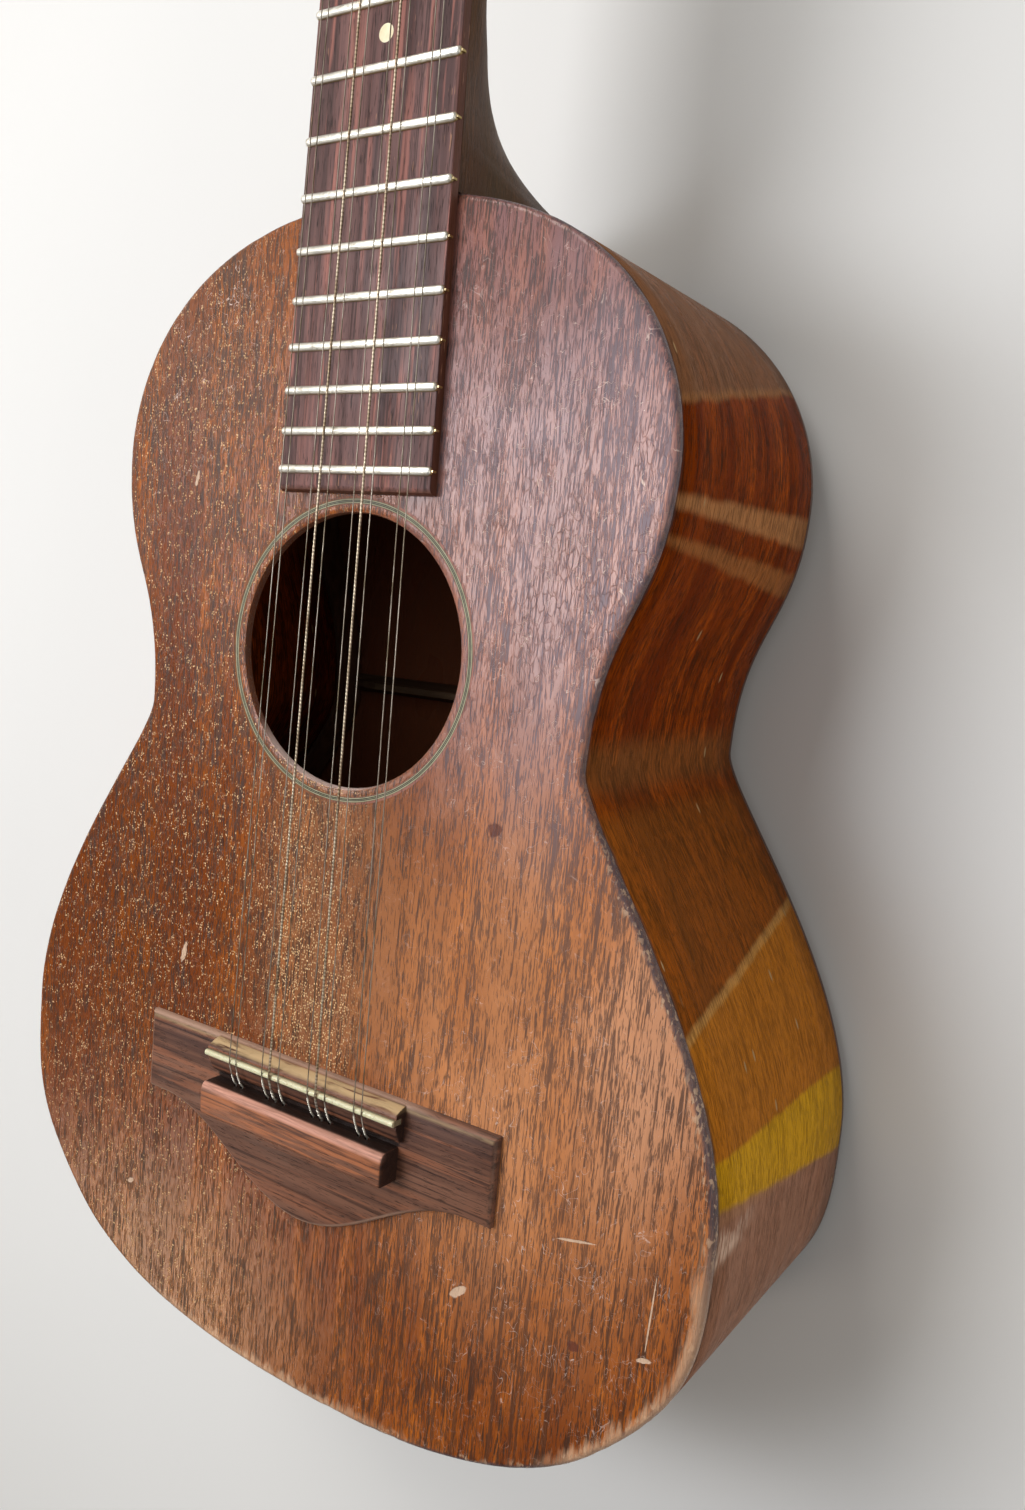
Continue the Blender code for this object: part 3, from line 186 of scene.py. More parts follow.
# The camera hangs over the treble side, level with the soundhole, and looks down at the body
camera = bpy.data.objects.new("camera", bpy.data.cameras.new("camera"))
camera.data.sensor_fit = "VERTICAL"
camera.data.sensor_height = 36
camera.data.lens = 29.5925
camera.data.shift_x, camera.data.shift_y = 0.06365, 0.01676
camera.data.clip_start = 0.01
aim = Matrix((
    (0.80885585, 0.08705992, -0.58152626),
    (-0.15665642, 0.98514007, -0.07041168),
    (0.56675478, 0.14805273, 0.8104748),
)).transposed().to_4x4()
aim.translation = on_bench(202.679, -299.383, 252.872)
camera.matrix_world = aim
scene.collection.objects.link(camera)
scene.camera = camera


def mesh_from(bm, name):
    mesh = bpy.data.meshes.new(name)
    bm.to_mesh(mesh)
    bm.free()
    return mesh


sheet = bmesh.new()
bmesh.ops.create_grid(sheet, x_segments=8, y_segments=8, size=4)
floor = bpy.data.objects.new("floor", mesh_from(sheet, "floor"))
scene.collection.objects.link(floor)
floor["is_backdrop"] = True
paper = Finish("paper_floor")
paper.colour = paper.mix(paper.cloud((300, 300, 300)), (0.68, 0.675, 0.66), (0.72, 0.715, 0.70))
floor.data.materials.append(paper.done(0.9, Specular_IOR_Level=0.1))


def hang_light(name, place, towards, width, length, watts, colour=(1, 1, 1)):
    light = bpy.data.lights.new(name, "AREA")
    light.shape = "RECTANGLE"
    light.size, light.size_y = width * mm, length * mm
    light.energy = watts
    light.color = colour
    lamp = bpy.data.objects.new(name, light)
    lamp.location = on_bench(*place)
    lamp.rotation_euler = (Vector(towards) - Vector(place)).to_track_quat("-Z", "Y").to_euler()
    lamp.visible_camera = False
    scene.collection.objects.link(lamp)


hang_light("window", (-350, -240, 760), (30, -280, 0), 270, 540, 5.6, (0.92, 0.95, 1.0))
hang_light("key", (-520, 900, 1050), (0, -320, 0), 800, 800, 15.0, (1.0, 0.97, 0.93))
hang_light("tail_window", (-850, -1120, 760), (-40, -450, 0), 340, 300, 1.6, (1.0, 0.91, 0.79))
hang_light("overhead", (250, 250, 1500), (0, -250, 0), 1400, 1400, 3.0, (1.0, 0.98, 0.95))
hang_light("treble_fill", (1300, -500, 500), (60, -350, -40), 900, 700, 4.0, (1.0, 0.97, 0.93))
hang_light("bass_fill", (-1300, 100, 500), (-60, -250, -40), 900, 700, 3.0, (1.0, 0.90, 0.77))

world = bpy.data.worlds.new("studio")
scene.world = world
world.use_nodes = True
world.node_tree.nodes["Background"].inputs[0].default_value = (1.0, 0.98, 0.95, 1)
world.node_tree.nodes["Background"].inputs[1].default_value = 0.16
scene.view_settings.view_transform = "Standard"

# The soundboard: one thin plate of quarter-sawn mahogany, glued on the ribs with its edge
# rounded over and no binding. The varnish is crazed and scratched, and the edge worn and chipped.
board_thickness = 2.4
hole_centre = (0.0, -315.9)
hole_radius = 35.6
ring_inner, ring_outer, groove_depth = 37.7, 39.8, 0.7
edge_round, worn_reach, steps_inwards = 1.5, 3, (2.0, 2.5, 4.0, 6.0)
body_top, body_length = -203.4, 321.7
depth_at_neck, depth_at_tail, back_arch = 88.5, 98.0, 4.0


def bent_edge(steps):
    """The treble half of the body's edge, from the neck to the tail, through its six bends."""
    slant = math.sqrt(0.5)
    # Half width, distance down from the neck, way it runs, and how far each curve holds that way.
    bends = (
        (0.0, 0.0, (1, 0), 0.0, 69.1),
        (86.4, 63.5, (0, -1), 23.0, 33.0),
        (71.5, 133.3, (0, -1), 37.0, 11.0),
        (116.6, 235.0, (0, -1), 43.0, 26.0),
        (93.3, 295.8, (-slant, -slant), 33.0, 33.0),
        (0.0, body_length, (-1, 0), 28.0, 0.0),
    )
    edge = []
    for (xa, da, way_a, _, out), (xb, db, way_b, into, _) in zip(bends, bends[1:]):
        start, end = Vector((xa, body_top - da)), Vector((xb, body_top - db))
        run = interpolate_bezier(start, start + Vector(way_a) * out, end - Vector(way_b) * into, end, steps)
        edge += [p.to_2d() for p in run[:-1]]
    return [*edge, Vector((0.0, body_top - body_length))]


treble_edge = bent_edge(60)
whole_edge = [*treble_edge, *(Vector((-p.x, p.y)) for p in reversed(treble_edge[1:-1]))]
edge_tree = KDTree(len(whole_edge))
for number, p in enumerate(whole_edge):
    edge_tree.insert((p.x, p.y, 0), number)
edge_tree.balance()
run_along = [0.0]
for a, b in zip(treble_edge, treble_edge[1:]):
    run_along.append(run_along[-1] + (b - a).length)


def nearest_edge(x, y):
    """How far along the rib, in mm, and how far from the edge a point of the body is."""
    _, number, away = edge_tree.find((x, y, 0))
    number = min(number, len(whole_edge) - number)
    return run_along[number], away


def fit(piece, finish, body="tiple", stands_for=()):
    """Links a piece, gives it its finish and lets it ride on its body."""
    if not piece.users_collection:
        scene.collection.objects.link(piece)
    piece.data.materials.append(finish)
    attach(piece, body)
    if stands_for:
        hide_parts(*stands_for)


def shift(bm, way, verts=None):
    bmesh.ops.translate(bm, vec=way, verts=verts or bm.verts)


def resize(bm, by, verts=None):
    bmesh.ops.scale(bm, vec=by, verts=verts or bm.verts)


def settle(bm, name, finish, body="tiple", stands_for=(), crease=35, turned=None):
    """Makes a piece from a shape drawn in mm from the nut, or in the frame that turned brings there."""
    if turned:
        bmesh.ops.transform(bm, matrix=turned, verts=bm.verts)
    bmesh.ops.recalc_face_normals(bm, faces=bm.faces)
    resize(bm, (mm, mm, mm))
    shift(bm, on_bench(0, 0, 0))
    mesh = mesh_from(bm, name)
    mesh.shade_smooth()
    mesh.set_sharp_from_angle(angle=math.radians(crease))
    fit(bpy.data.objects.new(name, mesh), finish, body, stands_for)


def ring_of(bm, points):
    """A closed loop of edges through the points."""
    verts = [bm.verts.new(p) for p in points]
    return [bm.edges.new((a, b)) for a, b in zip(verts, verts[1:] + verts[:1])]


def face_through(bm, points):
    return bmesh.ops.contextual_create(bm, geom=ring_of(bm, points))["faces"]


def verts_in(geom):
    return [v for v in geom if isinstance(v, bmesh.types.BMVert)]


def pull(bm, faces, way):
    """Draws faces out into a solid. Returns the faces at its far end."""
    grown = bmesh.ops.extrude_face_region(bm, geom=faces)["geom"]
    shift(bm, way, verts_in(grown))
    return [f for f in grown if isinstance(f, bmesh.types.BMFace)]


def step_in(bm, widths):
    """Rings of faces inside the outline, as wide as the list says. Returns the face left inside."""
    for width in widths:
        bm.normal_update()
        middle = max(bm.faces, key=lambda f: len(f.verts))
        bmesh.ops.inset_individual(bm, faces=[middle], thickness=width, use_even_offset=True)
    return max(bm.faces, key=lambda f: len(f.verts))


def round_over(bm, edges, width, segments):
    bmesh.ops.bevel(bm, geom=edges, offset=width, segments=segments, affect="EDGES", profile=0.5, material=-1)


def mahogany(name, light, dark, rib=False):
    """Quarter-sawn mahogany under varnish, its grain along y or, on a rib, along the bend."""
    wood = Finish(name)
    if rib:
        wood.place = wood.add("UVMap", uv_map="along_rib").outputs[0]
    ribbons = wood.cloud((12, 260, 12), 3)
    flame = wood.cloud((4, 16, 4), 3, 0.8)
    wood.colour = wood.mix(wood.between(ribbons, 0.38, 0.6), dark, light)
    wood.stain(wood.between(flame, 0.42, 0.66, 0.0, 0.5), dark)
    streaks = wood.cloud((1.5, 55, 1.5), 2)
    wood.stain(wood.between(streaks, 0.36, 0.6, 0.55, 0.0), dark)
    fibres = wood.cloud((0.4, 26, 0.4), 3, 0.0, 0.7)
    wood.stain(wood.between(fibres, 0.3, 0.62, 0.5, 0.0), dark)
    crowding = wood.times(wood.sum(flame, wood.sum(ribbons, streaks)), 0.22)
    short = wood.between(wood.sum(wood.cloud((0.32, 3.4, 0.32), 2, 0.4, 0.6), crowding), 0.855, 0.935)
    long = wood.between(wood.sum(wood.cloud((0.5, 10, 0.5), 2, 0.5), crowding), 0.90, 0.97)
    wood.pores = wood.either(wood.times(short, 0.85), long)
    wood.normal = wood.relief(wood.pores, -0.07, wood.relief(fibres, 0.012))
    return wood


def fill_pores(wood, pore, share=0.75):
    """The open pores, dark with old filler and dirt under the varnish."""
    wood.stain(wood.pores, pore, share)


top = mahogany("mahogany_soundboard", (0.40, 0.104, 0.008), (0.16, 0.033, 0.003))
# Broad pools of painted sheen, the lights' reflection painted into the varnish's colour: pinkish and orange
# over the treble side, bluish-dark beside the fretboard, tan on the bass side, between the strings and at the
# tail. One dark pool darkens the bass waist.
sheen_mottle = top.patches((28, 60, 28), 0.3, 0.62, 0.55, 1.0, detail=3)
treble_sheen = top.times(top.pool(64, -290, 70, 95), sheen_mottle)
for x, y, across, along, share, tone in (
        (48, -228, 75, 75, 0.6, (0.21, 0.14, 0.165)), (66, -405, 75, 105, 0.75, (0.60, 0.26, 0.11)),
        (-62, -225, 60, 70, 0.25, (0.36, 0.17, 0.09)), (-62, -515, 100, 55, 0.55, (0.42, 0.20, 0.08)),
        (-2, -385, 34, 85, 0.4, (0.42, 0.21, 0.10)), (96, -395, 30, 60, 0.4, (0.60, 0.34, 0.22)),
        (-84, -400, 70, 120, 0.7, (0.15, 0.030, 0.0))):
    top.stain(top.times(top.pool(x, y, across, along), sheen_mottle), tone, share)
# The strongest of it: a pinkish painted sheen over the upper treble bout
top.stain(treble_sheen, (0.52, 0.35, 0.35), 0.45)
long_lines = top.patches((0.8, 60, 0.8), 0.56, 0.62, detail=2, warp=0.2)
top.pores = top.either(top.pores, top.times(long_lines, top.times(top.pool(62, -480, 75, 90), 0.8)))
# Pores in the painted sheen are painted lighter too: brown in the lower treble pool, bluish in the upper
# treble one
pore = top.mix(top.pool(66, -405, 75, 105), (0.024, 0.010, 0.005), (0.085, 0.038, 0.024))
fill_pores(top, top.mix(treble_sheen, pore, (0.13, 0.10, 0.13)), 0.85)
# The bass side is peppered with short open pores
pepper = top.patches((0.38, 2.4, 0.38), 0.54, 0.61, detail=2, warp=0.4, rough=0.6)
pepper = top.times(pepper, top.pool(-74, -330, 72, 230, 0.5))
top.stain(pepper, (0.035, 0.013, 0.007), 0.75)
# The crazed varnish: a net of fine slanting cracks, darkest beside the soundhole
crazing = top.cells((1.4, 4.2, 1.4), warp=1.0).outputs[0]
crazed = top.times(top.between(crazing, 0.0, 0.05, 1.0, 0.0), top.patches((16, 22, 16), 0.44, 0.6))
crazed = top.times(crazed, top.sum(0.2, top.pool(66, -300, 60, 105)))
top.stain(crazed, (0.09, 0.06, 0.06), 0.3)
# Curled hair scratches, where a cloud passes through its middle value
hairs = 0.0
for size, thin in ((3.2, 0.010), (6.0, 0.006)):
    curls = top.off_zero(top.less(top.cloud((size, size * 1.3, size), 1, 1.4), 0.5))
    here = top.patches((size * 1.7, size * 2, size), 0.5, 0.58, detail=1)
    hairs = top.either(hairs, top.times(top.between(curls, 0.0, thin, 1.0, 0.0), here))
scuffed = top.sum(top.times(top.pool(70, -450, 60, 90), 0.6), top.pool(-70, -225, 50, 70, 0.4))
hairs = top.times(hairs, top.sum(0.2, top.sum(treble_sheen, scuffed)))
top.stain(hairs, (0.74, 0.56, 0.48), 0.75)
# Flakes of lifted varnish, thick between the strings ahead of the bridge, painted bright as glints of light
flakes = top.cells((0.55, 0.7, 0.55), "F1", warp=0.5)
flakes_and_glints = top.times(top.between(flakes.outputs["Distance"], 0.2, 0.5, 1.0, 0.0),
                   top.between(flakes.outputs["Color"], 0.36, 0.56))
sprinkled = top.times(top.patches((1.4, 2.4, 1.4), 0.49, 0.6, detail=2), top.pool(-70, -370, 95, 210, 0.6))
dense = top.sum(top.times(top.pool(-2, -412, 19, 42, 0.1), 1.3),
                top.times(top.pool(-8, -385, 26, 75, 0.1), 0.45))
dense = top.times(dense, top.patches((4, 9, 4), 0.32, 0.6, 0.15, 1.5, detail=3))
flakes_and_glints = top.times(flakes_and_glints, top.sum(dense, sprinkled))
top.stain(flakes_and_glints, (0.88, 0.56, 0.28), 0.9)
# The worn edge: darker and bluish on the round, and bare pale wood where it is chipped, most of it
# below the waist on the treble side and at the tail
from_edge = top.add("Attribute", attribute_name="from_edge").outputs["Fac"]
worn = top.either(0.22, top.either(top.pool(110, -440, 75, 130, 0.6), top.pool(10, -525, 110, 45, 0.5)))
ragged = top.sum(from_edge, top.times(top.cloud((5, 5, 5), 3), -1.8))
ragged = top.sum(ragged, top.between(worn, 0.22, 1.0, 0.9, 0.0))
top.stain(top.between(ragged, -0.3, 0.8, 0.8, 0.0), (0.062, 0.048, 0.060))
chips = top.times(top.patches((0.9, 1.9, 0.9), 0.53, 0.6, detail=3), top.between(ragged, 0.2, 2.4, 1.0, 0.0))
chips = top.times(chips, top.patches((7, 12, 7), 0.42, 0.58, 0.15, 1.0, detail=2))
top.stain(top.times(chips, worn), (0.50, 0.33, 0.21), 0.75)
# The hole's wall is bare wood, painted dark as shade and lit on its tail side by a painted highlight, and the
# rim is rubbed bare towards the tail
wall = top.pool(*hole_centre, hole_radius + 0.7, hole_radius + 0.7, 0.975)
top.stain(wall, top.mix(top.pool(-12, -354, 34, 22, 0.5), (0.20, 0.085, 0.055), (0.85, 0.66, 0.60)), 0.85)
skinned = top.either(top.pool(104, -480, 34, 56, 0.5), top.pool(-20, -530, 90, 22, 0.3))
skinned = top.times(
    skinned, top.between(top.sum(from_edge, top.times(top.cloud((1.3, 9, 1.3), 4), 9)), 5.6, 8.8, 1.0, 0.0))
top.stain(skinned, (0.58, 0.34, 0.20), 0.68)


def dent(x, y, turn, length, width):
    """A mark on the soundboard that runs at turn degrees from x."""
    spot = top.add("Mapping", {
        "Vector": top.place, "Location": on_bench(x, y, 0), "Rotation": (0, 0, math.radians(turn)),
        "Scale": (length / 2 * mm, width / 2 * mm, 1),
    }, vector_type="TEXTURE").outputs[0]
    spot = top.vector("MULTIPLY", spot, (1, 1, 0))
    away = top.vector("LENGTH", spot)
    away = top.sum(away, top.times(top.cloud((1.5, 1.5, 1.5)), 0.9))
    return top.between(away, 1.2, 1.45, 1.0, 0.0)


bruises = dent(-51.9, -409.3, 76, 8, 2.0)
for mark in ((52.7, -473.2, 42, 7.0, 2.6), (83, -447.5, 13, 11, 0.8), (103.7, -469.1, 15, 4.2, 1.4),
             (104.2, -458, 88, 22, 0.5), (-69, -487, 30, 3, 1.6), (23, -456.5, 60, 4, 0.9),
             (-58, -273, 80, 5, 1.4)):
    bruises = top.either(bruises, dent(*mark))
top.stain(bruises, (0.56, 0.38, 0.26))
for mark in ((50.2, -353.9, 20, 4.5, 4.0), (85.9, -473.6, 0, 3.5, 3.0)):
    top.stain(dent(*mark), (0.09, 0.025, 0.02), 0.75)
top.normal = top.relief(top.sum(top.sum(top.times(crazed, 0.4), bruises), flakes_and_glints), -0.11, top.normal)
top.normal = top.relief(hairs, 0.05, top.normal)
top.normal = top.relief(top.cloud((2.5, 6, 2.5), 2), 0.07, top.normal)
top.normal = top.relief(top.cloud((40, 70, 40)), 0.35, top.normal)
dullness = top.sum(top.pores, top.times(top.cloud((12, 18, 12), 3), 0.6))
soundboard_varnish = top.done(top.between(dullness, 0.1, 1.2, 0.24, 0.42), top.normal,
                              IOR=1.5, Specular_IOR_Level=0.32)

plate = bmesh.new()
face_through(plate, [(p.x, p.y, 0) for p in whole_edge])
middle = step_in(plate, steps_inwards)
inner_edges = list(middle.edges)
bmesh.ops.delete(plate, geom=[middle], context="FACES_ONLY")
hole_profile = ((ring_outer, 0), (ring_outer, -groove_depth), (ring_inner, -groove_depth), (ring_inner, 0),
                (hole_radius + 0.9, 0), (hole_radius + 0.25, -0.25), (hole_radius, -0.9),
                (hole_radius, -board_thickness))
stem = [plate.verts.new((hole_centre[0] + r, hole_centre[1], z)) for r, z in hole_profile]
stem += [plate.edges.new(pair) for pair in zip(stem, stem[1:])]
bmesh.ops.spin(plate, geom=stem, cent=(*hole_centre, 0), axis=(0, 0, 1), angle=math.tau, steps=120,
               use_merge=True)
rim = [e for e in plate.edges if e.is_boundary and e.calc_length() < 4 and e not in inner_edges]
hole_top = [e for e in rim if abs((e.verts[0].co.xy - Vector(hole_centre)).length - ring_outer) < 0.01]
bmesh.ops.triangle_fill(plate, use_beauty=True, edges=inner_edges + hole_top, normal=(0, 0, 1))
outer = [e for e in plate.edges if e.is_boundary and abs(e.verts[0].co.z) < 0.01]
wall = bmesh.ops.extrude_edge_only(plate, edges=outer)["geom"]
shift(plate, (0, 0, -board_thickness), verts_in(wall))
round_over(plate, outer, edge_round, 4)
bmesh.ops.triangle_fill(plate, use_beauty=True, normal=(0, 0, -1),
                        edges=[e for e in plate.edges if e.is_boundary])
wear = plate.verts.layers.float.new("from_edge")
for vert in plate.verts:
    x, y, _ = vert.co
    _, away = nearest_edge(x, y)
    vert[wear] = min(away, sum(steps_inwards))
    if away < worn_reach:
        inwards = (Vector((0, y * 0.5 + hole_centre[1] * 0.5)) - Vector((x, y))).normalized()
        hard_use = 1.0 if x > 0 and y < -330 else 0.45
        bite = max(0.0, noise.noise(Vector((x, y, 0)) / 3.2)) ** 2 * 0.5
        bite = hard_use * (bite + max(0.0, noise.noise(Vector((x, y, 9)) / 11)) * 0.25)
        vert.co.xy += inwards * bite * (1 - away / worn_reach)
        vert.co.z -= bite * 0.3 * (1 - away / worn_reach) if vert.co.z > -1.4 else 0
settle(plate, "soundboard_plate", soundboard_varnish, stands_for=["soundboard"])

# The rosette: a ring of thin pale and dark lines, let into a groove round the soundhole and
# scraped level with the soundboard.
lines = Finish("rosette_lines")
off = lines.vector("SUBTRACT", lines.place, on_bench(*hole_centre, 0))
off = lines.vector("MULTIPLY", off, (1000, 1000, 0))
radius = lines.vector("LENGTH", off)
wobble = 0.16
radius = lines.sum(radius, lines.times(lines.cloud((6, 6, 6)), wobble))
pale = lines.mix(lines.cloud((3, 3, 3), 3), (0.20, 0.19, 0.11), (0.46, 0.42, 0.28))
dark = lines.mix(lines.cloud((4, 4, 4), 3), (0.010, 0.012, 0.010), (0.024, 0.030, 0.024))
lines.colour = dark
strip_middle, strip_half = 38.55, 0.6
for line_middle, half_line in ((38.13, 0.10), (strip_middle, 0.03), (38.97, 0.12)):
    off_line = lines.off_zero(lines.less(radius, line_middle + wobble / 2))
    lines.stain(lines.between(off_line, half_line, half_line + 0.05, 1.0, 0.0), pale)
# A strip of the soundboard's own wood fills the groove on either side of the lines, painted paler and pinker
# towards the treble side as a sheen like the soundboard's
sideways = lines.xyz(off)[0]
strip_wood_sheen = lines.mix(lines.between(sideways, -25, 30), (0.20, 0.070, 0.022), (0.30, 0.13, 0.10))
strip_wood_sheen = lines.mix(lines.patches((0.4, 4, 0.4), 0.5, 0.6, 0.0, 0.6, detail=2), strip_wood_sheen,
                       (0.05, 0.03, 0.025))
off_middle = lines.off_zero(lines.less(radius, strip_middle + wobble / 2))
lines.stain(lines.between(off_middle, strip_half, strip_half + 0.06), strip_wood_sheen)
rosette_inlay = lines.done(0.42, lines.relief(lines.cloud((1.5, 1.5, 1.5)), 0.03), Specular_IOR_Level=0.12)

ring = bmesh.new()
groove_gap, ring_depth = 0.02, 0.6
inner, outer = ring_inner + groove_gap, ring_outer - groove_gap
section = [ring.verts.new((hole_centre[0] + r, hole_centre[1], z))
           for r, z in ((inner, -ring_depth), (inner, 0.0), (outer, 0.0), (outer, -ring_depth))]
section += [ring.edges.new((a, b)) for a, b in zip(section, section[1:] + section[:1])]
bmesh.ops.spin(ring, geom=section, cent=(*hole_centre, 0), axis=(0, 0, 1), angle=math.tau, steps=120,
               use_merge=True)
settle(ring, "rosette_ring", rosette_inlay, stands_for=["rosette"])

# The sides: two thin mahogany ribs, bent to the outline and glued to the linings. Their grain
# runs round the body, under a glossy red-brown varnish.
side = mahogany("mahogany_ribs", (0.44, 0.080, 0.003), (0.16, 0.023, 0.0015), rib=True)
fill_pores(side, (0.045, 0.012, 0.004), 0.7)
run = side.xyz()


def band(start, start_slant, end, end_slant, soft):
    """1 between two lines across the rib, whose run from the neck, in mm, changes with the depth."""
    along = side.sum(side.times(run[1], 1000), side.times(side.cloud((9, 30, 9)), 2.5))
    past_start = side.sum(along, side.times(run[0], -1000 * start_slant))
    before_end = side.sum(along, side.times(run[0], -1000 * end_slant))
    return side.times(side.between(past_start, start - soft, start + soft),
                      side.between(before_end, end - soft, end + soft, 1.0, 0.0))


# Broad and narrow bands of painted reflection: pale, olive, yellow and lilac stripes where the glossy varnish
# mirrors the room, painted into its colour.
# Shoulder and tail are pale on both ribs; the bands between are strong on the treble rib and faint on the bass
# one.
treble = side.between(side.xyz(side.add("TexCoord").outputs["Object"])[0], -0.03, 0.01, 0.25, 1.0)
for start, start_slant, end, end_slant, soft, share, tone in (
        (0, 0, 107, -0.21, 1.5, 0.75, (0.25, 0.125, 0.060)),
        (106, -0.21, 108, -0.21, 1, 0.5, (0.46, 0.22, 0.08)),
        (127, -0.03, 130, 0.03, 1.2, 0.75, (0.52, 0.24, 0.09)),
        (136, 0.04, 138, 0.1, 1.2, 0.6, (0.44, 0.18, 0.055)), (187, 0, 199, 0, 4, 0.5, (0.27, 0.12, 0.035)),
        (203, 0, 260, -0.22, 5, 0.45, (0.30, 0.115, 0.018)),
        (258, -0.22, 300, 0.1, 1.2, 0.85, (0.52, 0.185, 0.018)),
        (257, -0.22, 259.5, -0.22, 0.8, 0.5, (0.66, 0.38, 0.12)),
        (286, 0, 297, 0.15, 0.8, 0.88, (0.66, 0.35, 0.012)),
        (296.5, 0.15, 600, 0, 1.2, 0.8, (0.39, 0.205, 0.13))):
    on_both_ribs = start == 0 or end == 600
    side.stain(side.times(band(start, start_slant, end, end_slant, soft),
                          share if on_both_ribs else side.times(treble, share)), tone)
hairlines = side.patches((0.5, 14, 0.5), 0.5, 0.7, detail=3, warp=0.3, rough=0.7)
side.stain(side.either(side.pores, hairlines), (0.06, 0.018, 0.004), 0.5)
# A pale patch near each rib's top edge, past the yellow band: a painted glint
rubbed_and_glint = side.times(band(302, 0, 310, -0.1, 2), side.between(run[0], 0.004, 0.028, 1.0, 0.0))
rubbed_and_glint = side.times(rubbed_and_glint, side.patches((1.6, 8, 1.6), 0.4, 0.6, detail=3))
side.stain(rubbed_and_glint, (0.80, 0.56, 0.42), 0.85)
nicks = side.cells((5, 16, 5), "F1")
nicks = side.times(side.between(nicks.outputs["Distance"], 0.06, 0.12, 1.0, 0.0),
                   side.between(nicks.outputs["Color"], 0.6, 0.65))
side.stain(nicks, (0.42, 0.27, 0.13))
# Each rib's top, just under the soundboard, is darker
dark_top_band = side.between(side.sum(run[0], side.times(side.cloud((6, 9, 6), 3), 0.003)), 0.0010, 0.0028, 1.0,
                         0.0)
side.stain(dark_top_band, (0.075, 0.055, 0.05), 0.8)
rib_varnish = side.done(
    side.patches((15, 40, 15), 0.3, 0.75, 0.22, 0.38, detail=3),
    side.relief(side.cloud((30, 45, 30)), 0.25, side.normal), IOR=1.45, Specular_IOR_Level=0.01,
)

rib_thickness, board_gap = 2.0, 0.04


def depth_at(y):
    """How deep the body is at its rim, from the soundboard's face to the back's."""
    return depth_at_neck + (depth_at_tail - depth_at_neck) * (body_top - y) / body_length


def span(edge, axis):
    """How far an edge reaches along x, y or z."""
    return abs(edge.verts[0].co[axis] - edge.verts[1].co[axis])


def neck_side_edge(x):
    """Where the body's edge lies beside the neck."""
    for a, b in zip(treble_edge, treble_edge[1:]):
        if a.x <= x <= b.x:
            return a.y + (b.y - a.y) * (x - a.x) / (b.x - a.x)
    return body_top


# The ribs stop beside the neck's tenon. Below it they reach in under the heel, in two steps.
beside_tenon, under_tenon, under_heel = 11.6, 10.4, 8.4
tenon_foot, heel_foot = -60, -70
for hand, way in (("bass", -1), ("treble", 1)):
    rib = bmesh.new()
    path = [Vector((beside_tenon, neck_side_edge(beside_tenon))),
            *(p for p in treble_edge[1:] if p.x > beside_tenon + 0.4), Vector((0.1, body_top - body_length))]
    chain = [rib.verts.new((way * p.x, p.y, -board_thickness - board_gap)) for p in path]
    top_line = [rib.edges.new(pair) for pair in zip(chain, chain[1:])]
    for vert in verts_in(bmesh.ops.extrude_edge_only(rib, edges=top_line)["geom"]):
        vert.co.z = board_gap + board_thickness - depth_at(vert.co.y)
    uprights = [e for e in rib.edges if span(e, 2) > 40]
    bmesh.ops.subdivide_edges(rib, edges=uprights, cuts=7, use_grid_fill=True)
    for vert in rib.verts:
        if abs(vert.co.x) < beside_tenon + 0.1 and vert.co.y > body_top - 5 and vert.co.z < tenon_foot:
            reach = under_tenon if vert.co.z > heel_foot else under_heel
            vert.co.x, vert.co.y = way * reach, neck_side_edge(reach)
    bmesh.ops.recalc_face_normals(rib, faces=rib.faces)
    if sum(f.normal.x * way for f in rib.faces) < 0:
        bmesh.ops.reverse_faces(rib, faces=rib.faces)
    layer = rib.loops.layers.uv.new("along_rib")
    for face in rib.faces:
        for corner in face.loops:
            x, y, z = corner.vert.co
            corner[layer].uv = (-(z + board_thickness) * mm, nearest_edge(x, y)[0] * mm)
    resize(rib, (mm, mm, mm))
    shift(rib, on_bench(0, 0, 0))
    mesh = mesh_from(rib, f"{hand}_rib")
    mesh.shade_smooth()
    piece = bpy.data.objects.new(mesh.name, mesh)
    wall = piece.modifiers.new("rib thickness", "SOLIDIFY")
    wall.thickness, wall.offset, wall.use_even_offset = rib_thickness * mm, -1, True
    fit(piece, rib_varnish, stands_for=[f"side_{hand}"])

# The back: one arched plate of mahogany, 2.4 mm thick, pulled to its curve by three braces and
# glued on the ribs. It is varnished outside and bare inside.
arched = mahogany("mahogany_back", (0.25, 0.058, 0.009), (0.13, 0.027, 0.004))
fill_pores(arched, (0.035, 0.012, 0.006))
scratches = arched.patches((14, 0.5, 14), 0.70, 0.74, detail=1, warp=0.15)
scratches = arched.times(scratches, arched.patches((35, 35, 35), 0.46, 0.6))
scratches = arched.either(scratches, arched.patches((1.6, 2.4, 1.6), 0.70, 0.76, detail=2))
arched.stain(scratches, (0.33, 0.2, 0.12), 0.5)
rim_wear = arched.add("Attribute", attribute_name="from_edge").outputs["Fac"]
rim_wear = arched.sum(rim_wear, arched.times(arched.cloud((6, 6, 6), 3), -3.0))
arched.stain(arched.between(rim_wear, -0.5, 1.5, 0.7, 0.0), (0.06, 0.035, 0.025))
